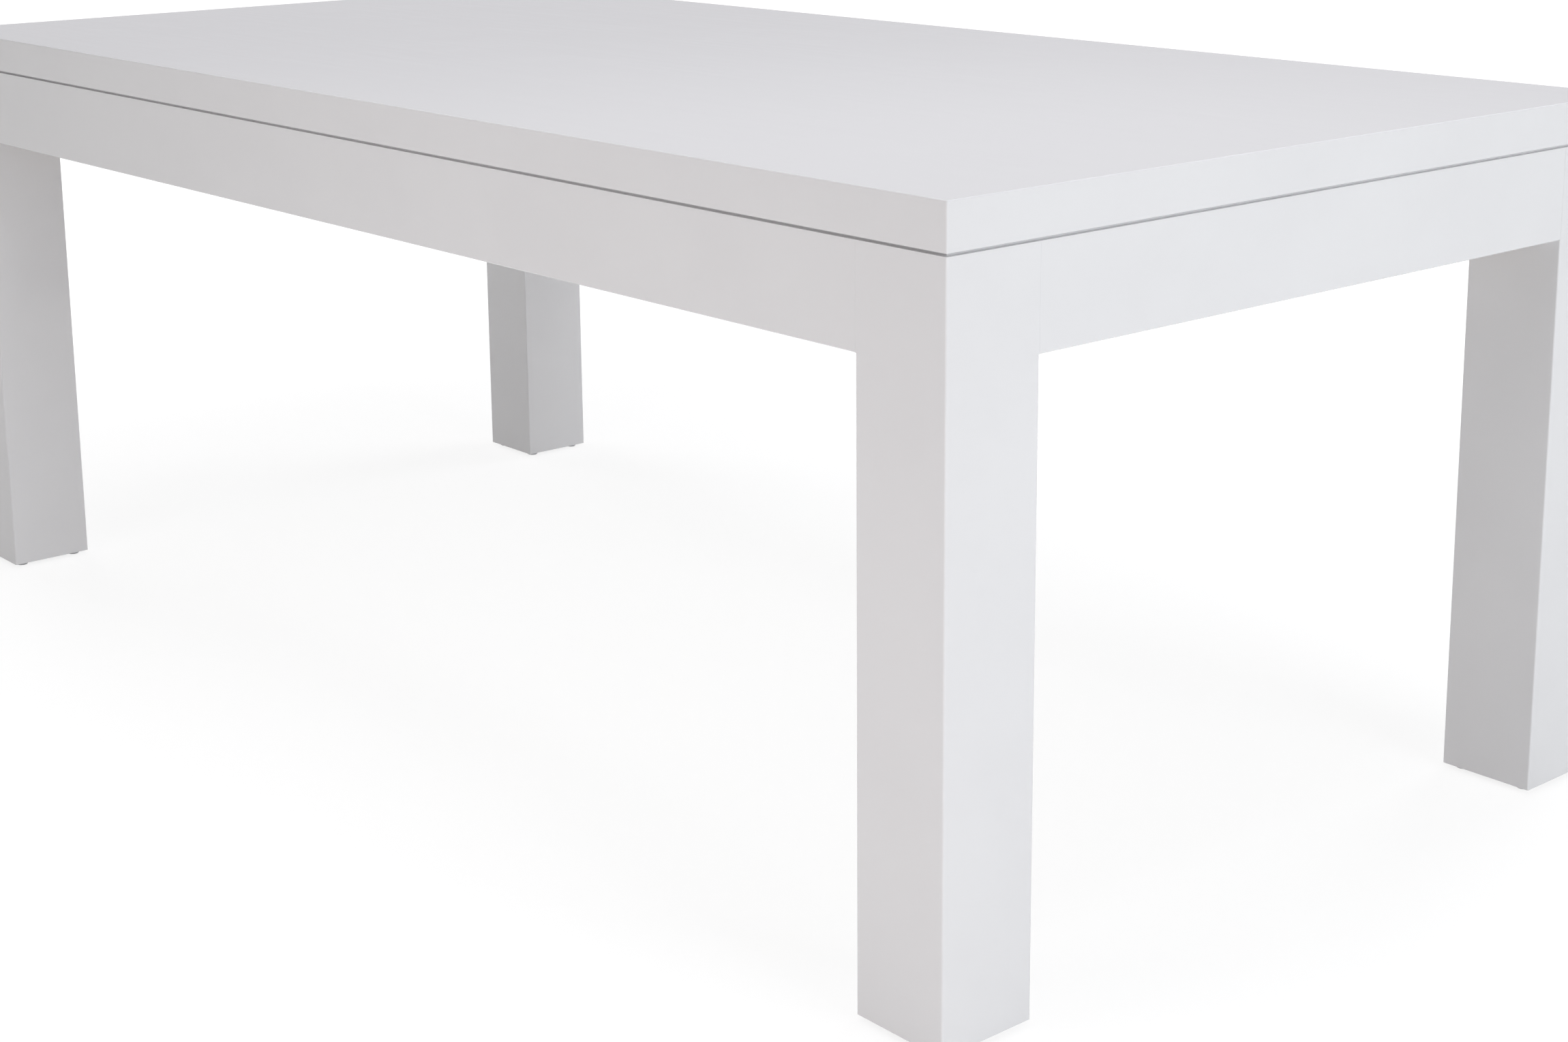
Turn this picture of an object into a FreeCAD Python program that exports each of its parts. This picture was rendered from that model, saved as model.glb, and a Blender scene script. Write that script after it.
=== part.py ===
"""Parsons dining table in white gloss lacquered board. All sizes are in millimetres.

The origin is on the floor under the middle of the top. X runs along the length, Y runs
across the width with the front at -Y, and Z is up.

The top is one sheet, doubled up along its edges by mitred strips. It rests on a frame of
four aprons and four hollow square legs, above a narrow shadow gap. Dowels locate the apron
ends in the legs. A wooden block bridges each inner corner, and two hanger bolts draw the
leg into that corner.
"""

import FreeCAD, Part
import math
import os

Vector = FreeCAD.Vector

# The table as a whole
TABLE_LENGTH = 2000.0
TABLE_WIDTH = 1000.0
TABLE_HEIGHT = 760.0

# Top: a sheet, with strips round its edge and battens across it
SHEET_THICKNESS = 22.0
STRIP_THICKNESS = 22.0
STRIP_WIDTH = 120.0
BATTEN_WIDTH = 90.0
TOP_ARRIS = 1.5
STRIP_ARRIS = 0.8

# Aprons, and the shadow gap rebated into aprons and legs under the top
APRON_HEIGHT = 100.0
APRON_THICKNESS = 22.0
APRON_ARRIS = 1.5
SHADOW_GAP = 2.5
SHADOW_DEPTH = 6.0
JOINT_BEVEL = 0.4

# Legs: mitre-folded shells with a block in the head and a plug in the foot
LEG_SIDE = 110.0
LEG_WALL = 18.0
LEG_ARRIS = 1.8
HEAD_BLOCK_HEIGHT = 120.0
FOOT_PLUG_HEIGHT = 30.0

# Corner blocks, each clear of a flat planed on the leg's inner corner
BOLT_FLAT = 22.0
BLOCK_GAP = 5.0
BLOCK_THICKNESS = 30.0
BLOCK_HEIGHT = 70.0
POCKET_RADIUS = 5.5
POCKET_SEAT = 12.0
BLOCK_SCREW_SPREAD = 44.0

# Hanger bolts with their washers and nuts
BOLT_RADIUS = 4.0
BOLT_SPREAD = 34.0
BOLT_WOOD_LENGTH = 45.0
BOLT_POINT = 8.0
BOLT_STICK_OUT = 5.0
BOLT_END_CHAMFER = 1.0
WASHER_RADIUS = 12.0
WASHER_THICKNESS = 2.0
NUT_ACROSS_FLATS = 13.0
NUT_HEIGHT = 6.5

# Dowels between apron ends and legs
DOWEL_RADIUS = 4.0
DOWEL_LENGTH = 40.0
DOWEL_SPREAD = 50.0
DOWEL_CHAMFER = 1.0
DOWEL_GLUE_ROOM = 1.0

# Cross rails, dropped into housings in the long aprons
RAIL_SPACING = 640.0
RAIL_THICKNESS = 22.0
RAIL_HEIGHT = 70.0
HOUSING_DEPTH = 6.0

# Angle brackets and wood screws
BRACKET_LEG = 35.0
BRACKET_WIDTH = 20.0
BRACKET_THICKNESS = 2.0
BRACKET_BEND = 4.0
BRACKET_CORNER = 4.0
BRACKET_HOLE = 22.0
SCREW_RADIUS = 2.0
SCREW_HEAD_RADIUS = 4.0
SCREW_HEAD_HEIGHT = 2.4
SCREW_HEAD_CROWN = 2.4
SCREW_POINT = 4.0
SCREW_COVER = 6.0

# Glides and their nails
GLIDE_RADIUS = 8.0
GLIDE_HEIGHT = 5.0
GLIDE_EDGE = 1.5
GLIDE_INSET = 16.0
NAIL_RADIUS = 1.2
NAIL_SOCKET = 3.0
NAIL_DEPTH = 20.0
NAIL_POINT = 3.0

# Flat sides that stand for a small round, so that the many small pieces stay light
SCREW_SIDES = 6
NAIL_SIDES = 6
DOWEL_SIDES = 8
BOLT_SIDES = 8
POCKET_SIDES = 8
WASHER_SIDES = 12
GLIDE_SIDES = 12

# Clearances
HOLE_CLEARANCE = 0.1
BOLT_CLEARANCE = 0.4
BRACKET_CLEARANCE = 0.4
HOUSING_CLEARANCE = 0.2
DRILL_POINT_ROOM = 1.0

# Heights and places that follow from the sizes above
HALF_LENGTH = TABLE_LENGTH / 2
HALF_WIDTH = TABLE_WIDTH / 2
SHEET_BOTTOM = TABLE_HEIGHT - SHEET_THICKNESS
FRAME_TOP = SHEET_BOTTOM - STRIP_THICKNESS
APRON_BOTTOM = FRAME_TOP - APRON_HEIGHT
APRON_MIDDLE = FRAME_TOP - APRON_HEIGHT / 2
APRON_FACE_X = HALF_LENGTH - APRON_THICKNESS
APRON_FACE_Y = HALF_WIDTH - APRON_THICKNESS
LEG_FACE_X = HALF_LENGTH - LEG_SIDE
LEG_FACE_Y = HALF_WIDTH - LEG_SIDE
LEG_BOTTOM = GLIDE_HEIGHT
RAIL_BOTTOM = FRAME_TOP - RAIL_HEIGHT
RAIL_MIDDLE = FRAME_TOP - RAIL_HEIGHT / 2

# The diagonal of the back right corner, from the leg towards the middle of the table
DIAGONAL = math.sqrt(2.0)
INWARD = Vector(-1 / DIAGONAL, -1 / DIAGONAL, 0)
FLAT_REACH = BOLT_FLAT / 2
FLAT_MIDDLE = Vector(LEG_FACE_X, LEG_FACE_Y, 0) - INWARD * FLAT_REACH
BLOCK_OUTER = FLAT_MIDDLE + INWARD * BLOCK_GAP
BLOCK_INNER = BLOCK_OUTER + INWARD * BLOCK_THICKNESS
BLOCK_END_X = BLOCK_INNER.x + BLOCK_INNER.y - APRON_FACE_Y
BLOCK_END_Y = BLOCK_INNER.x + BLOCK_INNER.y - APRON_FACE_X
BLOCK_START_X = BLOCK_OUTER.x + BLOCK_OUTER.y - APRON_FACE_Y
BLOCK_START_Y = BLOCK_OUTER.x + BLOCK_OUTER.y - APRON_FACE_X

UP = Vector(0, 0, 1)
DOWN = Vector(0, 0, -1)
TOUCH = 0.001

# Each corner as the signs of its X and Y
CORNERS = {
    "front_left": (-1, -1),
    "front_right": (1, -1),
    "back_left": (-1, 1),
    "back_right": (1, 1),
}


# Small tools for shaping and placing

def board(low, high):
    """Square-edged board between two opposite corners."""
    size = high - low
    return Part.makeBox(size.x, size.y, size.z, low)


def prism(points, low, high):
    """Upright prism over an outline of (x, y) points, from height low to height high."""
    corners = [Vector(x, y, low) for x, y in points]
    outline = Part.makePolygon(corners + corners[:1])
    return Part.Face(outline).extrude(Vector(0, 0, high - low))


def around(radius, sides):
    """Corners (x, y) of a small round with a few flat sides."""
    angles = [2 * math.pi * step / sides for step in range(sides)]
    return [(radius * math.cos(angle), radius * math.sin(angle)) for angle in angles]


def peg(radius, low, high, sides):
    """Straight small round from height low to height high, as a piece or as its hole."""
    return prism(around(radius, sides), low, high)


def turned(points, sides):
    """Small round solid about Z, from (radius, height) points that run from its lower end to its upper end."""
    rings = [[Vector(x, y, height) for x, y in around(radius, sides)] for radius, height in points]
    faces = []
    for lower, upper in zip(rings, rings[1:]):
        for step in range(sides):
            after = (step + 1) % sides
            corners = [lower[step], lower[after], upper[after], upper[step]]
            outline = [c for i, c in enumerate(corners) if not c.isEqual(corners[i - 1], TOUCH)]
            faces.append(Part.Face(Part.makePolygon(outline + outline[:1])))
    return Part.makeSolid(Part.makeShell(faces)).removeSplitter()


def is_upright(edge):
    """True for an edge that runs up the piece."""
    return edge.BoundBox.XLength < TOUCH and edge.BoundBox.YLength < TOUCH


def lies_at(edge, height):
    """True for an edge that lies level at a height."""
    return abs(edge.BoundBox.ZMin - height) < TOUCH and abs(edge.BoundBox.ZMax - height) < TOUCH


def rounded(shape, radius, chosen):
    """Shape with the edges that pass a test rounded over."""
    return shape.makeFillet(radius, [edge for edge in shape.Edges if chosen(edge)])


def aimed(shape, point, direction):
    """Copy of a shape with its own origin at a point and its own Z along a direction."""
    copy = shape.copy()
    copy.Placement = FreeCAD.Placement(point, FreeCAD.Rotation(UP, direction))
    return copy


def laid(shape, point, along_x, along_y):
    """Copy of a shape with its own X and Y laid along two square directions."""
    copy = shape.copy()
    turn = FreeCAD.Rotation(along_x, along_y, along_x.cross(along_y), "XYZ")
    copy.Placement = FreeCAD.Placement(point, turn)
    return copy


def at_corner(shape, signs):
    """Mirror image, at another corner, of a shape made at the back right corner."""
    sign_x, sign_y = signs
    if sign_x < 0:
        shape = shape.mirror(Vector(), Vector(1, 0, 0))
    if sign_y < 0:
        shape = shape.mirror(Vector(), Vector(0, 1, 0))
    return shape


def at_all_corners(shapes):
    """The shapes of the back right corner, repeated at all four corners."""
    return [at_corner(shape, signs) for signs in CORNERS.values() for shape in shapes]


def across_diagonal(shape):
    """Mirror image of a shape on the long apron, moved to the end apron of the same corner."""
    return shape.mirror(Vector(APRON_FACE_X, APRON_FACE_Y, 0), Vector(1, -1, 0))


def drilled(piece, holes):
    """Piece with every hole that crosses it cut out."""
    crossing = [hole for hole in holes if hole.BoundBox.intersect(piece.BoundBox)]
    return piece.cut(crossing) if crossing else piece


# Top

def top_sheet():
    """Sheet with the show edges and corners rounded over."""
    sheet = board(
        Vector(-HALF_LENGTH, -HALF_WIDTH, SHEET_BOTTOM),
        Vector(HALF_LENGTH, HALF_WIDTH, TABLE_HEIGHT),
    )
    return rounded(sheet, TOP_ARRIS, lambda edge: is_upright(edge) or lies_at(edge, TABLE_HEIGHT))


def edge_strips():
    """Strips that double up the edge of the sheet, mitred at the corners, by side."""
    inner_length = HALF_LENGTH - STRIP_WIDTH
    inner_width = HALF_WIDTH - STRIP_WIDTH
    ring = board(
        Vector(-HALF_LENGTH, -HALF_WIDTH, FRAME_TOP),
        Vector(HALF_LENGTH, HALF_WIDTH, SHEET_BOTTOM),
    )
    ring = rounded(ring, TOP_ARRIS, is_upright)
    ring = ring.makeChamfer(STRIP_ARRIS, [edge for edge in ring.Edges if lies_at(edge, FRAME_TOP)])
    ring = ring.cut(
        board(
            Vector(-inner_length, -inner_width, FRAME_TOP),
            Vector(inner_length, inner_width, SHEET_BOTTOM),
        )
    )
    back = [
        (HALF_LENGTH, HALF_WIDTH),
        (-HALF_LENGTH, HALF_WIDTH),
        (-inner_length, inner_width),
        (inner_length, inner_width),
    ]
    right = [
        (HALF_LENGTH, HALF_WIDTH),
        (inner_length, inner_width),
        (inner_length, -inner_width),
        (HALF_LENGTH, -HALF_WIDTH),
    ]
    sides = {
        "back": back,
        "front": [(x, -y) for x, y in back],
        "right": right,
        "left": [(-x, y) for x, y in right],
    }
    return {side: ring.common(prism(outline, FRAME_TOP, SHEET_BOTTOM)) for side, outline in sides.items()}


def top_batten(place):
    """Batten glued under the sheet at a place along X, between the long strips."""
    reach = HALF_WIDTH - STRIP_WIDTH
    return board(
        Vector(place - BATTEN_WIDTH / 2, -reach, FRAME_TOP),
        Vector(place + BATTEN_WIDTH / 2, reach, SHEET_BOTTOM),
    )


# Aprons and cross rails

def apron(length):
    """Apron along X with its show face on Y = 0, rebated along the top for the shadow gap."""
    half = length / 2
    piece = board(Vector(-half, -APRON_THICKNESS, APRON_BOTTOM), Vector(half, 0, FRAME_TOP))
    piece = rounded(
        piece,
        APRON_ARRIS,
        lambda edge: lies_at(edge, APRON_BOTTOM) and edge.BoundBox.YLength < TOUCH,
    )
    rebate = board(
        Vector(-half, -SHADOW_DEPTH, FRAME_TOP - SHADOW_GAP),
        Vector(half, 0, FRAME_TOP),
    )
    hairlines = [
        prism([(end, 0), (end - side * JOINT_BEVEL, 0), (end, -JOINT_BEVEL)], APRON_BOTTOM, FRAME_TOP)
        for side, end in ((-1, -half), (1, half))
    ]
    return piece.cut([rebate] + hairlines)


def aprons():
    """Aprons in place, by side."""
    long_apron = apron(TABLE_LENGTH - 2 * LEG_SIDE)
    end_apron = apron(TABLE_WIDTH - 2 * LEG_SIDE)
    places = {
        "back": (long_apron, Vector(0, HALF_WIDTH, 0)),
        "left": (end_apron, Vector(-HALF_LENGTH, 0, 0)),
        "front": (long_apron, Vector(0, -HALF_WIDTH, 0)),
        "right": (end_apron, Vector(HALF_LENGTH, 0, 0)),
    }
    placed = {}
    for side, (piece, place) in places.items():
        outward = Vector(place).normalize()
        placed[side] = laid(piece, place, outward.cross(UP), outward)
    return placed


def rail_places():
    """Places of the cross rails along X, by side."""
    return {"left": -RAIL_SPACING / 2, "right": RAIL_SPACING / 2}


def cross_rail(place):
    """Cross rail on edge at a place along X, housed in both long aprons."""
    reach = APRON_FACE_Y + HOUSING_DEPTH
    return board(
        Vector(place - RAIL_THICKNESS / 2, -reach, RAIL_BOTTOM),
        Vector(place + RAIL_THICKNESS / 2, reach, FRAME_TOP),
    )


def rail_housing(place):
    """Room for a cross rail in both long aprons."""
    half = RAIL_THICKNESS / 2 + HOUSING_CLEARANCE
    reach = APRON_FACE_Y + HOUSING_DEPTH
    return board(
        Vector(place - half, -reach, RAIL_BOTTOM),
        Vector(place + half, reach, FRAME_TOP),
    )


# Legs and corner blocks, made at the back right corner

def leg_hollow(low, high):
    """Space inside a leg's walls between two heights."""
    return board(
        Vector(LEG_FACE_X + LEG_WALL, LEG_FACE_Y + LEG_WALL, low),
        Vector(HALF_LENGTH - LEG_WALL, HALF_WIDTH - LEG_WALL, high),
    )


def leg_shell():
    """Hollow leg: rounded below the aprons, square where they butt, flat for the bolts."""
    shank = board(Vector(LEG_FACE_X, LEG_FACE_Y, LEG_BOTTOM), Vector(HALF_LENGTH, HALF_WIDTH, APRON_BOTTOM))
    shank = rounded(shank, LEG_ARRIS, is_upright)
    head = board(Vector(LEG_FACE_X, LEG_FACE_Y, APRON_BOTTOM), Vector(HALF_LENGTH, HALF_WIDTH, FRAME_TOP))
    head = rounded(
        head,
        LEG_ARRIS,
        lambda edge: is_upright(edge)
        and edge.BoundBox.XMax > HALF_LENGTH - TOUCH
        and edge.BoundBox.YMax > HALF_WIDTH - TOUCH,
    )
    cut_back = FLAT_REACH * DIAGONAL
    flat = [
        (LEG_FACE_X, LEG_FACE_Y),
        (LEG_FACE_X + cut_back, LEG_FACE_Y),
        (LEG_FACE_X, LEG_FACE_Y + cut_back),
    ]
    head = head.cut(prism(flat, APRON_BOTTOM, FRAME_TOP))
    gap_bottom = FRAME_TOP - SHADOW_GAP
    rebates = [
        board(
            Vector(HALF_LENGTH - SHADOW_DEPTH, LEG_FACE_Y, gap_bottom),
            Vector(HALF_LENGTH, HALF_WIDTH, FRAME_TOP),
        ),
        board(
            Vector(LEG_FACE_X, HALF_WIDTH - SHADOW_DEPTH, gap_bottom),
            Vector(HALF_LENGTH, HALF_WIDTH, FRAME_TOP),
        ),
    ]
    leg = shank.fuse(head).removeSplitter()
    return leg.cut(rebates + [leg_hollow(LEG_BOTTOM, FRAME_TOP)])


def head_block():
    """Wooden block that fills the upper end of a leg and takes the hanger bolts."""
    return leg_hollow(FRAME_TOP - HEAD_BLOCK_HEIGHT, FRAME_TOP)


def foot_plug():
    """Plug that closes the lower end of a leg."""
    return leg_hollow(LEG_BOTTOM, LEG_BOTTOM + FOOT_PLUG_HEIGHT)


def corner_block():
    """Wooden block across an inner corner, seated on the inner faces of both aprons."""
    outline = [
        (BLOCK_START_X, APRON_FACE_Y),
        (BLOCK_END_X, APRON_FACE_Y),
        (APRON_FACE_X, BLOCK_END_Y),
        (APRON_FACE_X, BLOCK_START_Y),
    ]
    block = prism(outline, APRON_MIDDLE - BLOCK_HEIGHT / 2, APRON_MIDDLE + BLOCK_HEIGHT / 2)
    pocket_length = BLOCK_START_X - BLOCK_END_X
    pocket = peg(POCKET_RADIUS, 0, pocket_length, POCKET_SIDES)
    pockets = [aimed(pocket, seat, Vector(0, -1, 0)) for seat in block_screw_seats()]
    return block.cut(pockets + [across_diagonal(tool) for tool in pockets])


# Fasteners of one corner, and the holes that they need

def bolt_points():
    """Points on the leg's flat where the hanger bolts enter it."""
    offsets = (-BOLT_SPREAD / 2, BOLT_SPREAD / 2)
    return [FLAT_MIDDLE + Vector(0, 0, APRON_MIDDLE + offset) for offset in offsets]


def hanger_bolt():
    """Hanger bolt: its point is in the leg, and its other end stands out of the nut."""
    washer_face = BLOCK_GAP + BLOCK_THICKNESS
    end = washer_face + WASHER_THICKNESS + NUT_HEIGHT + BOLT_STICK_OUT
    return turned(
        [
            (0, -BOLT_WOOD_LENGTH),
            (BOLT_RADIUS, BOLT_POINT - BOLT_WOOD_LENGTH),
            (BOLT_RADIUS, end - BOLT_END_CHAMFER),
            (BOLT_RADIUS - BOLT_END_CHAMFER, end),
            (0, end),
        ],
        BOLT_SIDES,
    )


def bolt_hole():
    """Hole for a hanger bolt through the leg's wall, its head block and the corner block."""
    reach = BLOCK_GAP + BLOCK_THICKNESS
    depth = BOLT_WOOD_LENGTH + DRILL_POINT_ROOM
    return peg(BOLT_RADIUS + HOLE_CLEARANCE, -depth, reach, BOLT_SIDES)


def bolt_washer():
    """Washer between the corner block and a nut."""
    disc = peg(WASHER_RADIUS, 0, WASHER_THICKNESS, WASHER_SIDES)
    return disc.cut(peg(BOLT_RADIUS + BOLT_CLEARANCE, 0, WASHER_THICKNESS, BOLT_SIDES))


def bolt_nut():
    """Hexagon nut."""
    hexagon = peg(NUT_ACROSS_FLATS / math.sqrt(3.0), 0, NUT_HEIGHT, 6)
    return hexagon.cut(peg(BOLT_RADIUS + HOLE_CLEARANCE, 0, NUT_HEIGHT, BOLT_SIDES))


def dowel():
    """Dowel centred on the joint, with both ends chamfered."""
    half = DOWEL_LENGTH / 2
    neck = DOWEL_RADIUS - DOWEL_CHAMFER
    return turned(
        [
            (0, -half),
            (neck, -half),
            (DOWEL_RADIUS, DOWEL_CHAMFER - half),
            (DOWEL_RADIUS, half - DOWEL_CHAMFER),
            (neck, half),
            (0, half),
        ],
        DOWEL_SIDES,
    )


def dowel_hole():
    """Hole for a dowel, with room for glue at both ends."""
    half = DOWEL_LENGTH / 2 + DOWEL_GLUE_ROOM
    return peg(DOWEL_RADIUS + HOLE_CLEARANCE, -half, half, DOWEL_SIDES)


def at_dowels(shape):
    """Shape repeated at the dowels of one corner, in the long apron and in the end apron."""
    placed = []
    for offset in (-DOWEL_SPREAD / 2, DOWEL_SPREAD / 2):
        height = APRON_MIDDLE + offset
        long_joint = Vector(LEG_FACE_X, HALF_WIDTH - APRON_THICKNESS / 2, height)
        end_joint = Vector(HALF_LENGTH - APRON_THICKNESS / 2, LEG_FACE_Y, height)
        placed.append(aimed(shape, long_joint, Vector(1, 0, 0)))
        placed.append(aimed(shape, end_joint, Vector(0, 1, 0)))
    return placed


def wood_screw(length):
    """Pan-head wood screw with the underside of its head at 0 and its point down."""
    return turned(
        [
            (0, -length),
            (SCREW_RADIUS, SCREW_POINT - length),
            (SCREW_RADIUS, 0),
            (SCREW_HEAD_RADIUS, 0),
            (SCREW_HEAD_CROWN, SCREW_HEAD_HEIGHT),
            (0, SCREW_HEAD_HEIGHT),
        ],
        SCREW_SIDES,
    )


def screw_hole(length):
    """Hole for a wood screw."""
    depth = length + DRILL_POINT_ROOM
    return peg(SCREW_RADIUS + HOLE_CLEARANCE, -depth, 0, SCREW_SIDES)


def block_screw_seats():
    """Floors of the screw pockets in a corner block's end on the long apron."""
    middle = (BLOCK_START_X + BLOCK_END_X) / 2
    offsets = (-BLOCK_SCREW_SPREAD / 2, BLOCK_SCREW_SPREAD / 2)
    return [Vector(middle, APRON_FACE_Y - POCKET_SEAT, APRON_MIDDLE + offset) for offset in offsets]


def at_block_screws(shape):
    """Shape repeated at the screws of one corner block, heads towards the middle."""
    placed = [aimed(shape, seat, Vector(0, -1, 0)) for seat in block_screw_seats()]
    return placed + [across_diagonal(piece) for piece in placed]


def glide_points():
    """Places of the glides under one leg."""
    near = GLIDE_INSET
    far = LEG_SIDE - GLIDE_INSET
    return [Vector(LEG_FACE_X + x, LEG_FACE_Y + y, 0) for x in (near, far) for y in (near, far)]


def glide():
    """Round glide with its lower edge chamfered and a socket for the nail moulded into it."""
    disc = turned(
        [
            (0, 0),
            (GLIDE_RADIUS - GLIDE_EDGE, 0),
            (GLIDE_RADIUS, GLIDE_EDGE),
            (GLIDE_RADIUS, GLIDE_HEIGHT),
            (0, GLIDE_HEIGHT),
        ],
        GLIDE_SIDES,
    )
    return disc.cut(peg(NAIL_RADIUS, GLIDE_HEIGHT - NAIL_SOCKET, GLIDE_HEIGHT, NAIL_SIDES))


def glide_nail():
    """Nail moulded into a glide and driven up into the leg."""
    start = GLIDE_HEIGHT - NAIL_SOCKET
    end = GLIDE_HEIGHT + NAIL_DEPTH
    return turned(
        [
            (0, start),
            (NAIL_RADIUS, start),
            (NAIL_RADIUS, end - NAIL_POINT),
            (0, end),
        ],
        NAIL_SIDES,
    )


def nail_hole():
    """Hole for a nail in the leg."""
    end = GLIDE_HEIGHT + NAIL_DEPTH + DRILL_POINT_ROOM
    return peg(NAIL_RADIUS + HOLE_CLEARANCE, GLIDE_HEIGHT, end, NAIL_SIDES)


# Angle brackets, and their screws

def angle_bracket():
    """Bent bracket with a hole in each leg. Its outer faces lie on X = 0 and Y = 0."""
    outer = BRACKET_LEG
    wall = BRACKET_THICKNESS
    inner_bend = wall + BRACKET_BEND - (2 - DIAGONAL) * wall
    profile = [
        (BRACKET_BEND, 0),
        (outer, 0),
        (outer, wall),
        (inner_bend, wall),
        (wall, inner_bend),
        (wall, outer),
        (0, outer),
        (0, BRACKET_BEND),
    ]
    bracket = prism(profile, -BRACKET_WIDTH / 2, BRACKET_WIDTH / 2)

    def is_tip_corner(edge):
        at_tip = max(edge.BoundBox.XMin, edge.BoundBox.YMin) > outer - TOUCH
        return at_tip and edge.BoundBox.ZLength < TOUCH

    bracket = bracket.makeChamfer(BRACKET_CORNER, [edge for edge in bracket.Edges if is_tip_corner(edge)])
    hole = peg(SCREW_RADIUS + BRACKET_CLEARANCE, 0, wall, SCREW_SIDES)
    return bracket.cut(
        [
            aimed(hole, Vector(BRACKET_HOLE, 0, 0), Vector(0, 1, 0)),
            aimed(hole, Vector(0, BRACKET_HOLE, 0), Vector(1, 0, 0)),
        ]
    )


def top_bracket_spots():
    """Inner corners under the top where brackets sit: point, and the way to the middle."""
    bay = (RAIL_SPACING / 2 + BLOCK_END_X) / 2
    spots = []
    for side in (-1, 1):
        for place in (-bay, 0, bay):
            spots.append((Vector(place, side * APRON_FACE_Y, FRAME_TOP), Vector(0, -side, 0)))
        for place in (-BLOCK_END_Y / 2, BLOCK_END_Y / 2):
            spots.append((Vector(side * APRON_FACE_X, place, FRAME_TOP), Vector(-side, 0, 0)))
    return spots


def rail_bracket_spots():
    """Inner corners between rails and long aprons: point, way along the rail, way along the apron."""
    spots = []
    for rail_side in (-1, 1):
        place = rail_side * (RAIL_SPACING / 2 + RAIL_THICKNESS / 2)
        for side in (-1, 1):
            point = Vector(place, side * APRON_FACE_Y, RAIL_MIDDLE)
            spots.append((point, Vector(0, -side, 0), Vector(rail_side, 0, 0)))
    return spots


def at_bracket_screw(shape, point, along, off):
    """Shape at a bracket's screw: the leg runs along one way, and the head faces off the other."""
    return aimed(shape, point + along * BRACKET_HOLE + off * BRACKET_THICKNESS, off)


def screw_length(thickness):
    """Length of a bracket screw that stops short of the far face of a board."""
    return BRACKET_THICKNESS + thickness - SCREW_COVER


def top_bracket_screws(make):
    """Screws of the top brackets, or their holes, as make gives them for a length."""
    placed = []
    for point, inward in top_bracket_spots():
        placed.append(at_bracket_screw(make(screw_length(APRON_THICKNESS)), point, DOWN, inward))
        placed.append(at_bracket_screw(make(screw_length(STRIP_THICKNESS)), point, inward, DOWN))
    return placed


def rail_bracket_screws(make):
    """Screws of the rail brackets, or their holes, as make gives them for a length."""
    placed = []
    for point, rail_way, apron_way in rail_bracket_spots():
        placed.append(at_bracket_screw(make(screw_length(RAIL_THICKNESS)), point, rail_way, apron_way))
        placed.append(at_bracket_screw(make(screw_length(APRON_THICKNESS)), point, apron_way, rail_way))
    return placed


# The whole table

def block_screw_length():
    """Length of a corner block screw that stops short of the apron's show face."""
    return POCKET_SEAT + APRON_THICKNESS - SCREW_COVER


def fastener_holes():
    """Every hole that a fastener needs in the boards and blocks."""
    one_corner = [aimed(bolt_hole(), point, INWARD) for point in bolt_points()]
    one_corner += at_dowels(dowel_hole())
    one_corner += at_block_screws(screw_hole(block_screw_length()))
    one_corner += [aimed(nail_hole(), point, UP) for point in glide_points()]
    return at_all_corners(one_corner) + top_bracket_screws(screw_hole) + rail_bracket_screws(screw_hole)


def wooden_pieces():
    """Boards and blocks with their holes, by name."""
    pieces = {"top_sheet": top_sheet()}
    for side, strip in edge_strips().items():
        pieces["edge_strip_" + side] = strip
    housings = [rail_housing(place) for place in rail_places().values()]
    for side, piece in aprons().items():
        pieces["apron_" + side] = drilled(piece, housings)
    for side, place in rail_places().items():
        pieces["top_batten_" + side] = top_batten(place)
        pieces["cross_rail_" + side] = cross_rail(place)
    corner_pieces = {
        "leg_": leg_shell(),
        "leg_head_block_": head_block(),
        "leg_foot_plug_": foot_plug(),
        "corner_block_": corner_block(),
    }
    for start, piece in corner_pieces.items():
        for corner, signs in CORNERS.items():
            pieces[start + corner] = at_corner(piece, signs)
    holes = fastener_holes()
    return {name: drilled(piece, holes) for name, piece in pieces.items()}


def fastener_groups():
    """Fasteners, brackets and glides as groups of like pieces, by name."""
    washer_face = INWARD * (BLOCK_GAP + BLOCK_THICKNESS)
    nut_face = washer_face + INWARD * WASHER_THICKNESS
    bolts = bolt_points()
    bracket = angle_bracket()
    return {
        "hanger_bolts": at_all_corners([aimed(hanger_bolt(), point, INWARD) for point in bolts]),
        "bolt_washers": at_all_corners([aimed(bolt_washer(), point + washer_face, INWARD) for point in bolts]),
        "bolt_nuts": at_all_corners([aimed(bolt_nut(), point + nut_face, INWARD) for point in bolts]),
        "apron_dowels": at_all_corners(at_dowels(dowel())),
        "corner_block_screws": at_all_corners(at_block_screws(wood_screw(block_screw_length()))),
        "top_brackets": [laid(bracket, point, DOWN, inward) for point, inward in top_bracket_spots()],
        "top_bracket_screws": top_bracket_screws(wood_screw),
        "rail_brackets": [laid(bracket, *spot) for spot in rail_bracket_spots()],
        "rail_bracket_screws": rail_bracket_screws(wood_screw),
        "glides": at_all_corners([aimed(glide(), point, UP) for point in glide_points()]),
        "glide_nails": at_all_corners([aimed(glide_nail(), point, UP) for point in glide_points()]),
    }


def main():
    """Build every piece and write one file for each."""
    os.makedirs("parts", exist_ok=True)
    for name, piece in wooden_pieces().items():
        piece.Solids[0].exportStep("parts/" + name + ".step")
    for name, group in fastener_groups().items():
        Part.makeCompound([piece.Solids[0] for piece in group]).exportStep("parts/" + name + ".step")


main()
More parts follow.
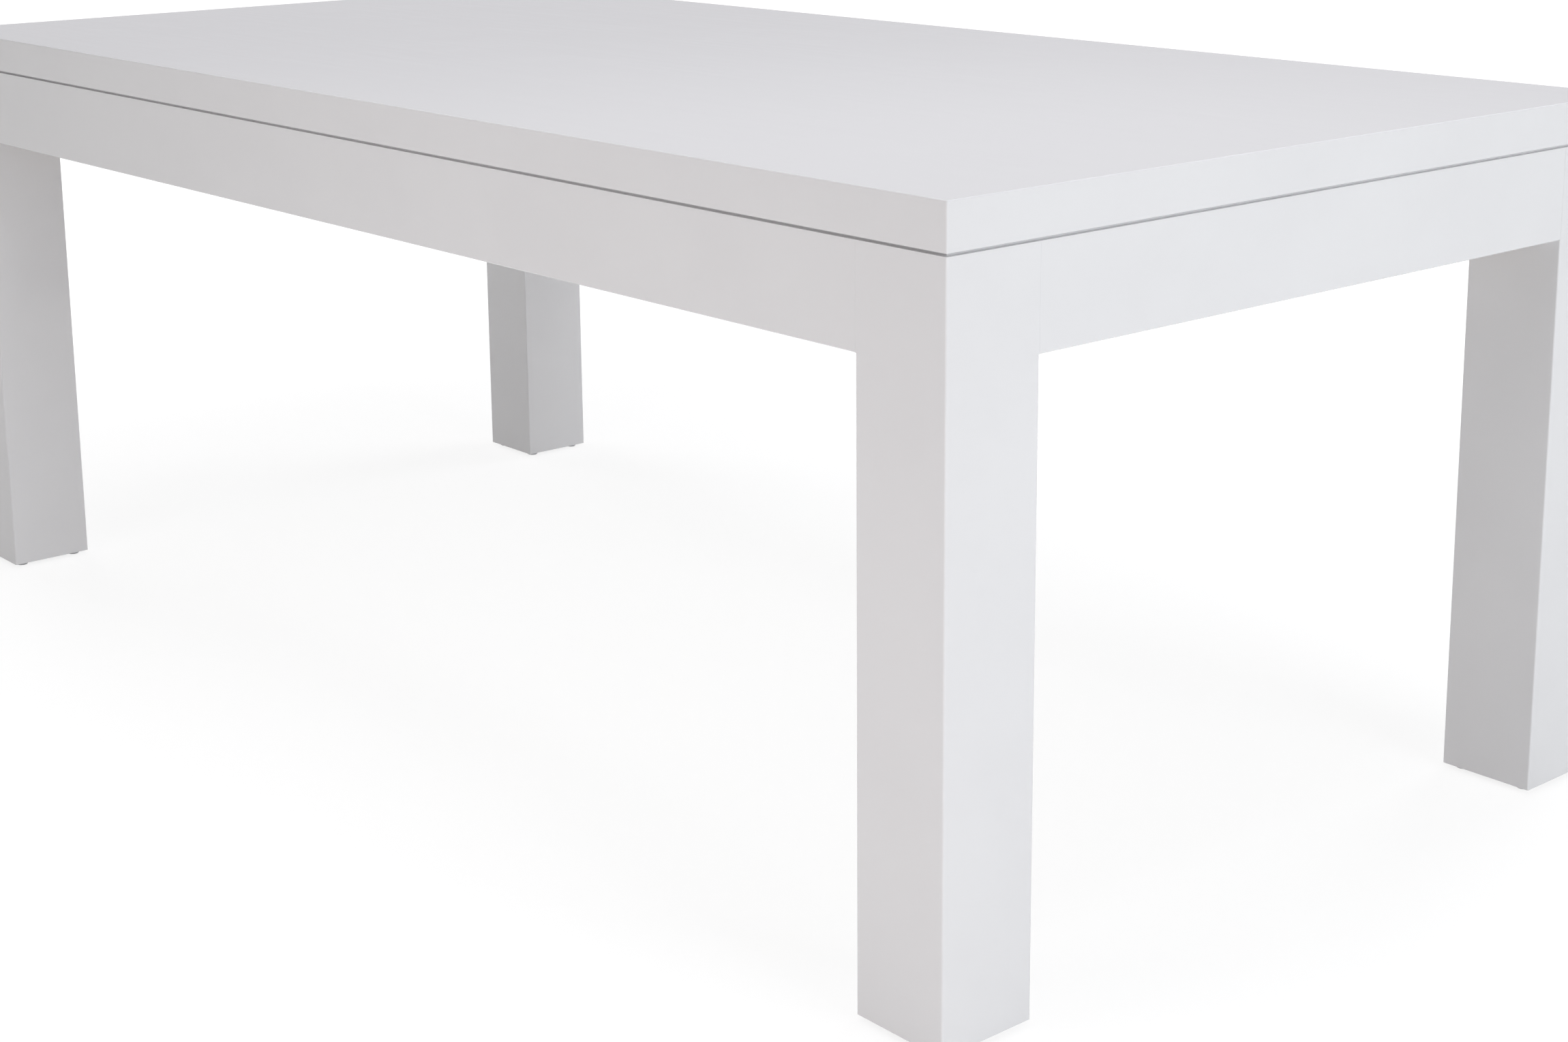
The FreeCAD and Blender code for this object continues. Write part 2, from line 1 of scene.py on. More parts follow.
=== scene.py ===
"""Looks of a white gloss parsons dining table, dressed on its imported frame.

Lengths are in metres in the frame's own axes: X along the length, Y across the width with the
front at -Y, and Z up from the floor. Places and outer sizes are read from the frame. Sizes that
a node's box doesn't give, such as an arris or a thread, are fields of the class that makes the
piece.
"""

import logging
import math
from abc import ABC, abstractmethod
from collections.abc import Callable, Sequence
from dataclasses import dataclass
from enum import Enum
from typing import ClassVar

import bmesh
import bpy
import numpy as np
from mathutils import Matrix, Vector


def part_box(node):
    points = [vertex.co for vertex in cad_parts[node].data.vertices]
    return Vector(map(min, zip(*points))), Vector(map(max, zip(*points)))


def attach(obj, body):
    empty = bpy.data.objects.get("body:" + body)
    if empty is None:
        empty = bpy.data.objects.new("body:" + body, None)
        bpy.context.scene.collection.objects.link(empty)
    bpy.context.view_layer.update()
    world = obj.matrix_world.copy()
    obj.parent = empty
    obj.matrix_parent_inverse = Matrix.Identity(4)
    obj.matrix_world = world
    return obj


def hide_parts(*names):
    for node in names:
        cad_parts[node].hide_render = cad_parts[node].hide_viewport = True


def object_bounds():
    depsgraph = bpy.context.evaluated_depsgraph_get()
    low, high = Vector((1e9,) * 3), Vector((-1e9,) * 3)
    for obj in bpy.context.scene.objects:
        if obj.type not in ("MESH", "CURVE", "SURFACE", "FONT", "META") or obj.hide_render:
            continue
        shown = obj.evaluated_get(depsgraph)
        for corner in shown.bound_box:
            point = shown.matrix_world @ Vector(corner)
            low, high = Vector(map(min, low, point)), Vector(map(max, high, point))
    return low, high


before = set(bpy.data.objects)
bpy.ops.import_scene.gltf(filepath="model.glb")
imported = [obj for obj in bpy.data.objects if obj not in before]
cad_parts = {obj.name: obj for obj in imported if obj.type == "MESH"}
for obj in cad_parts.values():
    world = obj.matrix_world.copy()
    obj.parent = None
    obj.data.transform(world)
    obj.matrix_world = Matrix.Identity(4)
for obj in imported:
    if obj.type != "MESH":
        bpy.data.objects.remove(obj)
CAD_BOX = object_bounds()

LOG = logging.getLogger("dining_table")

MM = 0.001

# Points this close are one point, and points this close to an end belong to it.
WELD = 1e-7
END_REACH = 1e-6

# Steps round an eased edge, as the shares of its radius that are gone and that are left.
EASE_STEPS = 5
EASE_ANGLES = [math.pi / 2 * step / EASE_STEPS for step in range(EASE_STEPS + 1)]
QUARTER_ROUND = [(1 - math.cos(angle), 1 - math.sin(angle)) for angle in EASE_ANGLES]

# Sides of round cutters, and their length as a multiple of what they cut through.
CUTTER_SIDES = 40
CUTTER_REACH = 4.0

# Edges that bend more stay sharp. Round the others, large faces settle the shading.
SHARP_ANGLE = math.radians(33)
FLAT_WEIGHT = 100

# A face looks a way if its normal has more than this along it.
LEAN = 0.5

BODY = "root"
POLISHED = "polished"
TURN = "turn"

UP = Vector((0, 0, 1))
SIDES = {
    "front": Vector((0, -1, 0)),
    "back": Vector((0, 1, 0)),
    "left": Vector((-1, 0, 0)),
    "right": Vector((1, 0, 0)),
}
ENDS = ("left", "right")
CORNERS = {
    "front_left": (-1, -1),
    "front_right": (1, -1),
    "back_left": (-1, 1),
    "back_right": (1, 1),
}

Triple = tuple[float, float, float]
Colour = Triple
Span = tuple[float, float]
Piece = bpy.types.Object
Solid = bmesh.types.BMesh
Socket = bpy.types.NodeSocket
FaceTest = Callable[[Vector, Vector], bool]


# Node trees

@dataclass(frozen=True)
class Signal:
    """A socket of a node tree that can take part in arithmetic."""

    graph: "Graph"
    socket: Socket

    def _with(self, operation: str, first: object, second: object) -> "Signal":
        """Join two values with a Math node."""
        return self.graph.node("ShaderNodeMath", {0: first, 1: second}, operation=operation)

    def __add__(self, other: object) -> "Signal":
        """Add a value."""
        return self._with("ADD", self, other)

    def __radd__(self, other: object) -> "Signal":
        """Add to a value."""
        return self._with("ADD", other, self)

    def __sub__(self, other: object) -> "Signal":
        """Take a value away."""
        return self._with("SUBTRACT", self, other)

    def __rsub__(self, other: object) -> "Signal":
        """Take away from a value."""
        return self._with("SUBTRACT", other, self)

    def __mul__(self, other: object) -> "Signal":
        """Multiply by a value."""
        return self._with("MULTIPLY", self, other)

    def __rmul__(self, other: object) -> "Signal":
        """Multiply a value."""
        return self._with("MULTIPLY", other, self)

    def __truediv__(self, other: object) -> "Signal":
        """Divide by a value."""
        return self._with("DIVIDE", self, other)

    def __rtruediv__(self, other: object) -> "Signal":
        """Divide a value."""
        return self._with("DIVIDE", other, self)

    def __neg__(self) -> "Signal":
        """Change the sign."""
        return self._with("MULTIPLY", self, -1.0)

    def either(self, other: object) -> "Signal":
        """Take the larger of this and another value."""
        return self._with("MAXIMUM", self, other)


class Graph:
    """A node tree under construction."""

    def __init__(self, tree: bpy.types.NodeTree) -> None:
        """Start on a tree."""
        self.tree = tree

    def add(
        self, kind: str, sockets: dict[str | int, object] | None = None, **settings: object
    ) -> bpy.types.Node:
        """Add a node to the tree.

        Args:
            kind: Blender's name for the type of node.
            sockets: Values, links, or lists of links, by the name or number of the input.
            settings: The node's own settings, which are set first. "stops" gives a ramp's stops as
                (place, colour) pairs, and "items" the number of values of an index switch.

        Returns:
            The node.
        """
        made = self.tree.nodes.new(kind)
        for name, value in settings.items():
            self._set(made, name, value)
        for key, value in (sockets or {}).items():
            self._plug(self._socket(made.inputs, key), value)
        return made

    def node(
        self,
        kind: str,
        sockets: dict[str | int, object] | None = None,
        output: str | int = 0,
        **settings: object,
    ) -> Signal:
        """Add a node for one of its outputs, named or numbered. The rest is as in add."""
        made = self.add(kind, sockets, **settings)
        return Signal(self, self._socket(made.outputs, output))

    @staticmethod
    def _set(made: bpy.types.Node, name: str, value: object) -> None:
        """Give a node one of its settings.

        Args:
            made: The node.
            name: The name of the setting, or "stops" or "items".
            value: What it is set to.
        """
        if name == "stops":
            ramp = made.color_ramp.elements
            for place, _ in value[1:-1]:
                ramp.new(place)
            for stop, (place, colour) in zip(ramp, value):
                stop.position = place
                stop.color = (*colour, 1.0)
        elif name == "items":
            while len(made.index_switch_items) < value:
                made.index_switch_items.new()
        else:
            setattr(made, name, value)

    @staticmethod
    def _socket(sockets: Sequence[Socket], key: str | int) -> Socket:
        """Find a socket by its number, or the first one in use by its name.

        Args:
            sockets: A node's inputs or outputs.
            key: The number or the name.

        Returns:
            The socket.
        """
        if isinstance(key, int):
            return sockets[key]
        return next(socket for socket in sockets if socket.enabled and socket.name == key)

    def _plug(self, socket: Socket, value: object) -> None:
        """Link an input, or set its value.

        Args:
            socket: The input.
            value: A link, a list of links, a plain value, or None to leave it as it is.
        """
        if isinstance(value, Signal):
            self.tree.links.new(value.socket, socket)
        elif isinstance(value, list):
            for link in value:
                self.tree.links.new(link.socket, socket)
        elif value is not None:
            socket.default_value = value


class ShaderGraph(Graph):
    """The node tree of a material or of the world."""

    def __init__(self, owner: bpy.types.Material | bpy.types.World) -> None:
        """Clear the owner's tree and start on it.

        Args:
            owner: The material or the world.
        """
        owner.use_nodes = True
        owner.node_tree.nodes.clear()
        super().__init__(owner.node_tree)

    def place(self, scale: Triple = (1, 1, 1), turn: Triple = (0, 0, 0)) -> Signal:
        """Give the point on the piece in Object coordinates, scaled and then turned."""
        here = self.node("ShaderNodeTexCoord", output="Object")
        return self.node("ShaderNodeMapping", {"Vector": here, "Rotation": turn, "Scale": scale})

    def noise(self, place: Signal, scale: float, detail: float = 2.0, rough: float = 0.5) -> Signal:
        """Give soft noise from 0 to 1, with cells of about one over the scale."""
        sockets = {"Vector": place, "Scale": scale, "Detail": detail, "Roughness": rough}
        return self.node("ShaderNodeTexNoise", sockets, output="Fac")

    def ranged(self, value: Signal, span: Span, to: Span = (0.0, 1.0)) -> Signal:
        """Stretch a value smoothly from one span to another, held at its ends.

        Args:
            value: The value.
            span: The span that it comes from.
            to: The span that it goes to.

        Returns:
            The stretched value.
        """
        ends = {"From Min": span[0], "From Max": span[1], "To Min": to[0], "To Max": to[1]}
        sockets = {"Value": value} | ends
        return self.node("ShaderNodeMapRange", sockets, interpolation_type="SMOOTHSTEP")

    def blend(self, factor: Signal, first: Signal | Colour, second: Signal | Colour) -> Signal:
        """Mix two colours.

        Args:
            factor: The share of the second colour.
            first: The first colour.
            second: The second colour.

        Returns:
            The mixed colour.
        """
        sides = [side if isinstance(side, Signal) else (*side, 1.0) for side in (first, second)]
        sockets = {"Factor": factor, "A": sides[0], "B": sides[1]}
        return self.node("ShaderNodeMix", sockets, output="Result", data_type="RGBA")

    def relief(self, height: Signal, depth: float, under: Signal | None = None) -> Signal:
        """Raise a surface by a height times a depth, on top of another relief."""
        return self.node("ShaderNodeBump", {"Height": height, "Distance": depth, "Normal": under})

    def mixed(self, factor: Signal, first: Signal, second: Signal) -> Signal:
        """Mix two shaders."""
        return self.node("ShaderNodeMixShader", {0: factor, 1: first, 2: second})

    def surface(self, sockets: dict[str, object]) -> None:
        """End the tree in a Principled surface with these inputs."""
        self.end(self.node("ShaderNodeBsdfPrincipled", sockets), "ShaderNodeOutputMaterial")

    def end(self, shader: Signal, kind: str) -> None:
        """End the tree in a shader."""
        self.add(kind, {"Surface": shader})


# Finishes

@dataclass(frozen=True)
class Finish(ABC):
    """A surface finish, with the record's slot that it belongs to.

    In each finish a scale is in cells to the metre, a span holds the values of a noise between
    which something changes, and a share is what the second of two noises has in their sum.
    """

    name: str
    slot: str

    @abstractmethod
    def paint(self, graph: ShaderGraph) -> None:
        """Fill the finish's node tree.

        Args:
            graph: The tree of the finish's material.
        """

    def material(self) -> bpy.types.Material:
        """Give the finish as a material, made on its first use.

        Returns:
            The material.
        """
        made = bpy.data.materials.get(self.name)
        if made is None:
            made = bpy.data.materials.new(self.name)
            self.paint(ShaderGraph(made))
        return made


@dataclass(frozen=True)
class GlossLacquer(Finish):
    """Sprayed and polished white lacquer, with a thin satin coat on faces that don't show."""

    name: str = "white_lacquer"
    slot: str = "white_gloss_lacquer"
    white: Colour = (0.800, 0.800, 0.810)
    cloud: Colour = (0.785, 0.784, 0.795)
    satin: Colour = (0.740, 0.735, 0.725)
    gloss_rough: Span = (0.11, 0.14)
    satin_rough: Span = (0.42, 0.56)
    ior: float = 1.5
    coat: float = 0.35
    coat_rough: float = 0.05
    cloud_scale: float = 7.0
    cloud_span: Span = (0.35, 0.70)
    rub_scale: Triple = (3.0, 90.0, 90.0)
    rub_share: float = 0.25
    haze_span: Span = (0.35, 0.65)
    swell_scale: float = 9.0
    swell_depth: float = 0.04 * MM
    peel_scale: float = 330.0
    peel_depth: float = 0.004 * MM
    mist_scale: float = 900.0
    mist_span: Span = (0.3, 0.7)
    mist_depth: float = 0.05 * MM

    def paint(self, graph: ShaderGraph) -> None:
        """Cloud the white slightly, ripple the gloss, and dull the hidden faces.

        Args:
            graph: The tree of the lacquer's material.
        """
        here = graph.place()
        shows = graph.node("ShaderNodeAttribute", output="Fac", attribute_name=POLISHED)
        clouds = graph.noise(here, self.cloud_scale, detail=3.0)
        rubbed = graph.noise(graph.place(self.rub_scale), 1.0, detail=3.0)
        mist = graph.noise(here, self.mist_scale, rough=0.6)
        white = graph.blend(graph.ranged(clouds, self.cloud_span), self.white, self.cloud)
        satin = graph.blend(mist, self.satin, self.cloud)
        handled = clouds * (1 - self.rub_share) + rubbed * self.rub_share
        haze = graph.ranged(handled, self.haze_span, self.gloss_rough)
        dull = graph.ranged(mist, self.mist_span, self.satin_rough)
        swell = graph.relief(graph.noise(here, self.swell_scale, detail=1.0), self.swell_depth)
        peel = graph.relief(graph.noise(here, self.peel_scale, detail=1.0), self.peel_depth, swell)
        rough = graph.relief(mist * (1.0 - shows), self.mist_depth, peel)
        graph.surface(
            {
                "Base Color": graph.blend(shows, satin, white),
                "Roughness": shows * haze + (1.0 - shows) * dull,
                "IOR": self.ior,
                "Coat Weight": shows * self.coat,
                "Coat Roughness": self.coat_rough,
                "Normal": rough,
            }
        )


@dataclass(frozen=True)
class PrimedBoard(Finish):
    """Matt primer rolled on fibreboard, with the fibres showing through."""

    name: str = "rolled_primer"
    slot: str = "primed_board"
    primer: Colour = (0.740, 0.730, 0.700)
    thin: Colour = (0.610, 0.575, 0.515)
    rough: Span = (0.62, 0.80)
    patch_scale: float = 22.0
    fibre_scale: Triple = (300.0, 1300.0, 1300.0)
    fibre_share: float = 0.4
    bare_span: Span = (0.46, 0.68)
    stipple_scale: float = 420.0
    stipple_span: Span = (0.3, 0.7)
    stipple_depth: float = 0.12 * MM

    def paint(self, graph: ShaderGraph) -> None:
        """Stipple the primer and let the board show where it is thin.

        Args:
            graph: The tree of the primer's material.
        """
        here = graph.place()
        stipple = graph.noise(here, self.stipple_scale, detail=3.0, rough=0.6)
        patches = graph.noise(here, self.patch_scale, detail=4.0)
        fibres = graph.noise(graph.place(self.fibre_scale), 1.0)
        cover = patches * (1 - self.fibre_share) + fibres * self.fibre_share
        bare = graph.ranged(cover, self.bare_span)
        graph.surface(
            {
                "Base Color": graph.blend(bare, self.primer, self.thin),
                "Roughness": graph.ranged(stipple, self.stipple_span, self.rough),
                "Normal": graph.relief(stipple, self.stipple_depth),
            }
        )


class Grain(Enum):
    """Ways that a wooden piece can lie, as turns of the noise behind its figure.

    The noise is stretched before it is turned, so the figure runs along X in all of them.
    """

    ALONG_X = (0.0, 0.0, 0.0)
    ALONG_Y = (0.0, 0.0, -90.0)
    UPRIGHT = (0.0, 90.0, 0.0)
    RISING = (0.0, 0.0, -45.0)
    FALLING = (0.0, 0.0, 45.0)

    def turn(self) -> Triple:
        """Give the turn in radians."""
        return tuple(math.radians(angle) for angle in self.value)


@dataclass(frozen=True)
class Beech(Finish):
    """Planed bare beech, with faint growth bands and short dark flecks along the grain."""

    name: str = "beech_along_x"
    slot: str = "beech"
    grain: Grain = Grain.ALONG_X
    pale: Colour = (0.660, 0.480, 0.305)
    warm: Colour = (0.540, 0.360, 0.205)
    fleck: Colour = (0.330, 0.190, 0.095)
    fleck_strength: float = 0.55
    rough: float = 0.46
    streak_rough: float = 0.2
    fleck_rough: float = 0.1
    band_scale: Triple = (1.2, 1 / (9 * MM), 1 / (9 * MM))
    streak_scale: Triple = (14.0, 700.0, 700.0)
    streak_share: float = 0.3
    tone_span: Span = (0.36, 0.66)
    fleck_scale: Triple = (260.0, 1900.0, 1900.0)
    fleck_span: Span = (0.60, 0.70)
    grain_depth: float = 0.06 * MM

    @classmethod
    def along(cls, grain: Grain) -> "Beech":
        """Give the beech of a piece that lies one way."""
        return cls(name=f"beech_{grain.name.lower()}", grain=grain)

    def paint(self, graph: ShaderGraph) -> None:
        """Lay growth bands, streaks and flecks along X.

        Args:
            graph: The tree of the beech's material.
        """
        turn = self.grain.turn()
        bands = graph.noise(graph.place(self.band_scale, turn), 1.0, detail=3.0, rough=0.55)
        streaks = graph.noise(graph.place(self.streak_scale, turn), 1.0, detail=3.0, rough=0.6)
        flecks = graph.noise(graph.place(self.fleck_scale, turn), 1.0, detail=1.0)
        dark = graph.ranged(flecks, self.fleck_span)
        figure = bands * (1 - self.streak_share) + streaks * self.streak_share
        tone = graph.ranged(figure, self.tone_span)
        wood = graph.blend(tone, self.pale, self.warm)
        graph.surface(
            {
                "Base Color": graph.blend(dark * self.fleck_strength, wood, self.fleck),
                "Roughness": self.rough + streaks * self.streak_rough + dark * self.fleck_rough,
                "Normal": graph.relief(streaks - dark, self.grain_depth),
            }
        )


@dataclass(frozen=True)
class ZincPlate(Finish):
    """Bright zinc plating with a faint blue and straw bloom."""

    name: str = "bright_zinc"
    slot: str = "zinc_plated_steel"
    blue: Colour = (0.640, 0.665, 0.700)
    straw: Colour = (0.700, 0.680, 0.625)
    rough: Span = (0.24, 0.42)
    bloom_scale: float = 190.0
    bloom_span: Span = (0.38, 0.66)
    grit_scale: float = 3200.0
    grit_share: float = 0.5
    dull_span: Span = (0.35, 0.65)
    grit_depth: float = 0.012 * MM

    def paint(self, graph: ShaderGraph) -> None:
        """Bloom the plating and grain it finely.

        Args:
            graph: The tree of the zinc's material.
        """
        here = graph.place()
        bloom = graph.noise(here, self.bloom_scale)
        grit = graph.noise(here, self.grit_scale)
        tint = graph.ranged(bloom, self.bloom_span)
        dull = bloom * (1 - self.grit_share) + grit * self.grit_share
        graph.surface(
            {
                "Base Color": graph.blend(tint, self.blue, self.straw),
                "Metallic": 1.0,
                "Roughness": graph.ranged(dull, self.dull_span, self.rough),
                "Normal": graph.relief(grit, self.grit_depth),
            }
        )


@dataclass(frozen=True)
class MouldedNylon(Finish):
    """Grey nylon with the fine texture of its mould and a scuffed foot."""

    name: str = "moulded_nylon"
    slot: str = "grey_nylon"
    grey: Colour = (0.520, 0.520, 0.530)
    scuff: Colour = (0.400, 0.398, 0.392)
    rough: float = 0.38
    scuff_rough: float = 0.2
    texture_rough: float = 0.1
    scuff_height: Span = (0.4 * MM, 1.8 * MM)
    scuff_fray: float = 1.2 * MM
    texture_scale: float = 1600.0
    texture_depth: float = 0.02 * MM

    def paint(self, graph: ShaderGraph) -> None:
        """Texture the nylon and scuff it near the floor.

        Args:
            graph: The tree of the nylon's material.
        """
        here = graph.place()
        texture = graph.noise(here, self.texture_scale)
        height = graph.node("ShaderNodeSeparateXYZ", {"Vector": here}, output="Z")
        low = graph.ranged(height + texture * self.scuff_fray, self.scuff_height, (1.0, 0.0))
        graph.surface(
            {
                "Base Color": graph.blend(low, self.grey, self.scuff),
                "Roughness": self.rough + low * self.scuff_rough + texture * self.texture_rough,
                "Normal": graph.relief(texture, self.texture_depth),
            }
        )


# Boards and blocks

@dataclass(frozen=True)
class Corner:
    """A corner of an outline, with the radius that it is eased to."""

    x: float
    y: float
    ease: float = 0.0


@dataclass(frozen=True)
class Outline:
    """A closed outline whose corners give the same number of points each, so that rings match."""

    corners: tuple[Corner, ...]

    @classmethod
    def box(cls, start: Sequence[float], far: Sequence[float], *eases: float) -> "Outline":
        """Give a rectangle between two corners.

        Args:
            start: The corner to start at. The next one along X comes second.
            far: The corner opposite to it.
            eases: One radius for all four corners, or one for each. Without any, they are sharp.

        Returns:
            The rectangle.
        """
        spots = ((start[0], start[1]), (far[0], start[1]), (far[0], far[1]), (start[0], far[1]))
        radii = eases if len(eases) == len(spots) else (eases or (0.0,)) * len(spots)
        return cls(tuple(Corner(x, y, ease) for (x, y), ease in zip(spots, radii)))

    def _around(self, index: int) -> tuple[Vector, Vector, Vector, float]:
        """Look along the two sides that meet at a corner.

        Args:
            index: The corner's number.

        Returns:
            The corner, the ways back and ahead from it, and half the angle between them.
        """
        spots = [Vector((corner.x, corner.y)) for corner in self.corners]
        before, here, after = spots[index - 1], spots[index], spots[(index + 1) % len(spots)]
        back = (before - here).normalized()
        ahead = (after - here).normalized()
        return here, back, ahead, back.angle(ahead) / 2

    def inset(self, distance: float) -> "Outline":
        """Draw a convex outline in on every side.

        Args:
            distance: How far each side moves in.

        Returns:
            The smaller outline, with as many corners.
        """
        corners = []
        for index, corner in enumerate(self.corners):
            here, back, ahead, half = self._around(index)
            moved = here + (back + ahead).normalized() * (distance / math.sin(half))
            corners.append(Corner(moved.x, moved.y, max(corner.ease - distance, 0.0)))
        return Outline(tuple(corners))

    def ring(self, height: float) -> list[Vector]:
        """Walk round the outline at a height, with each corner as an arc.

        Args:
            height: The height of the points.

        Returns:
            The points, with as many for a sharp corner as for an eased one.
        """
        points = []
        for index, corner in enumerate(self.corners):
            here, back, ahead, half = self._around(index)
            if corner.ease <= WELD:
                points += [here.copy() for _ in range(EASE_STEPS + 1)]
                continue
            centre = here + (back + ahead).normalized() * (corner.ease / math.sin(half))
            reach = corner.ease / math.tan(half)
            start, end = (here + way * reach - centre for way in (back, ahead))
            for step in range(EASE_STEPS + 1):
                points.append(centre + start.slerp(end, step / EASE_STEPS) * corner.ease)
        return [Vector((point.x, point.y, height)) for point in points]


def loft(rings: Sequence[Sequence[Vector]], closed: bool = False) -> Solid:
    """Stretch a skin over matching rings of points.

    Args:
        rings: The rings, each with the same number of points.
        closed: True to join the last ring to the first, as in a tube. Otherwise ends are capped.

    Returns:
        A closed mesh with its faces outwards.
    """
    mesh = bmesh.new()
    rows = [[mesh.verts.new(point) for point in ring] for ring in rings]
    pairs = list(zip(rows, rows[1:]))
    if closed:
        pairs.append((rows[-1], rows[0]))
    else:
        mesh.faces.new(rows[0])
        mesh.faces.new(rows[-1])
    for lower, upper in pairs:
        for here, after in zip(range(-1, len(lower) - 1), range(len(lower))):
            mesh.faces.new((lower[here], lower[after], upper[after], upper[here]))
    return welded(mesh)


def welded(mesh: Solid) -> Solid:
    """Merge doubles, drop faces without area, and turn the faces outwards.

    Args:
        mesh: The mesh to clean.

    Returns:
        The same mesh.
    """
    bmesh.ops.remove_doubles(mesh, verts=mesh.verts, dist=WELD)
    bmesh.ops.dissolve_degenerate(mesh, edges=mesh.edges, dist=WELD)
    bmesh.ops.recalc_face_normals(mesh, faces=mesh.faces)
    return mesh


def eased_prism(
    outline: Outline, low: float, high: float, ease_low: float = 0.0, ease_high: float = 0.0
) -> Solid:
    """Raise an outline into a solid.

    Args:
        outline: The convex outline.
        low: The height of the lower end.
        high: The height of the upper end.
        ease_low: The radius of the edges round the lower end.
        ease_high: The radius of the edges round the upper end.

    Returns:
        The solid, with its outline in X and Y and its height along Z.
    """
    levels = [(low + ease_low * gone, ease_low * left) for gone, left in QUARTER_ROUND]
    levels += [(high - ease_high * left, ease_high * gone) for gone, left in QUARTER_ROUND]
    return loft([outline.inset(drawn_in).ring(height) for height, drawn_in in levels])


def board(node: str, corner: float = 0.0, low: float = 0.0, high: float = 0.0) -> Solid:
    """Give a node's box as a board with eased edges.

    Args:
        node: The node.
        corner: The radius of its upright edges.
        low: The radius of its lower edges.
        high: The radius of its upper edges.

    Returns:
        The board, in its place.
    """
    start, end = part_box(node)
    return eased_prism(Outline.box(start, end, corner), start.z, end.z, low, high)


def turn_onto(x_way: Vector, y_way: Vector) -> Matrix:
    """Give the turn that brings X and Y onto two square ways."""
    return Matrix((x_way, y_way, x_way.cross(y_way))).transposed()


def laid(mesh: Solid, turn: Matrix, origin: Vector | None = None) -> Solid:
    """Turn a mesh and then move it to an origin."""
    mesh.transform(Matrix.Translation(origin or Vector()) @ turn.to_4x4())
    return mesh


def linked(name: str, data: bpy.types.ID) -> Piece:
    """Put a mesh, a lamp or a camera into the scene.

    Args:
        name: The name of the new object.
        data: The mesh, the lamp or the camera.

    Returns:
        The object.
    """
    made = bpy.data.objects.new(name, data)
    bpy.context.scene.collection.objects.link(made)
    return made


def as_object(name: str, solid: Solid) -> Piece:
    """Put a finished bmesh into the scene and free it.

    Args:
        name: The name of the new object.
        solid: Its shape, in its place.

    Returns:
        The object.
    """
    mesh = bpy.data.meshes.new(name)
    solid.to_mesh(mesh)
    solid.free()
    return linked(name, mesh)


def settle(piece: Piece) -> None:
    """Make a piece's modifiers part of its mesh.

    Args:
        piece: The piece, which then has no modifier.
    """
    graph = bpy.context.evaluated_depsgraph_get()
    mesh = bpy.data.meshes.new_from_object(piece.evaluated_get(graph), depsgraph=graph)
    piece.modifiers.clear()
    spent = piece.data
    piece.data = mesh
    bpy.data.meshes.remove(spent)
    mesh.name = piece.name


def cut(piece: Piece, cutters: Solid) -> None:
    """Cut solids that don't overlap out of a piece.

    Args:
        piece: The piece.
        cutters: The solids, which are used up.
    """
    tool = as_object("cutters", cutters)
    modifier = piece.modifiers.new("cut", "BOOLEAN")
    modifier.operation = "DIFFERENCE"
    modifier.solver = "EXACT"
    modifier.object = tool
    settle(piece)
    bpy.data.meshes.remove(tool.data)


def even_light(piece: Piece) -> None:
    """Shade flat faces flat and eased edges round.

    Args:
        piece: The piece, in its final shape.
    """
    piece.data.shade_smooth()
    piece.data.set_sharp_from_angle(angle=SHARP_ANGLE)
    modifier = piece.modifiers.new("even", "WEIGHTED_NORMAL")
    modifier.keep_sharp = True
    modifier.weight = FLAT_WEIGHT
    settle(piece)


def dress(piece: Piece, finish: Finish, node: str, shows: FaceTest | None = None) -> None:
    """Finish a piece and set it on the frame.

    Args:
        piece: The piece, in its place.
        finish: What its surface is finished with.
        node: The node of the frame that it stands for.
        shows: Tells from the middle and the way of a face if it is polished. Only lacquer asks.
    """
    even_light(piece)
    piece.data.materials.clear()
    piece.data.materials.append(finish.material())
    if shows is not None:
        polish = [float(shows(face.center, face.normal)) for face in piece.data.polygons]
        piece.data.attributes.new(POLISHED, "FLOAT", "FACE").data.foreach_set("value", polish)
    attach(piece, BODY)
    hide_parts(node)
    LOG.info("%s: %d faces for %s", piece.name, len(piece.data.polygons), node)


# Small parts on their seats

class Lie(Enum):
    """How the axis of a small solid is found from its shape."""

    LONG = -1
    FLAT = 0


@dataclass(frozen=True)
class Seat:
    """Where a small part goes: the middle of its outer end, and the turn of its own axes."""

    place: Vector
    turn: Matrix
    length: float
    radius: float

    @property
    def axis(self) -> Vector:
        """The part's own Z, which points out of the work."""
        return self.turn.col[2].copy()


def islands(node: str) -> list[np.ndarray]:
    """Part a node of the frame into its separate solids.

    Args:
        node: The node.

    Returns:
        The points of each solid, with a row for each point.
    """
    mesh = bmesh.new()
    mesh.from_mesh(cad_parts[node].data)
    bmesh.ops.remove_doubles(mesh, verts=mesh.verts, dist=WELD)
    found, seen = [], set()
    for start in mesh.verts:
        if start in seen:
            continue
        seen.add(start)
        reached = [start]
        for vert in reached:
            near = [edge.other_vert(vert) for edge in vert.link_edges]
            fresh = [other for other in near if other not in seen]
            seen.update(fresh)
            reached += fresh
        found.append(np.array([vert.co for vert in reached]))
    mesh.free()
    return found


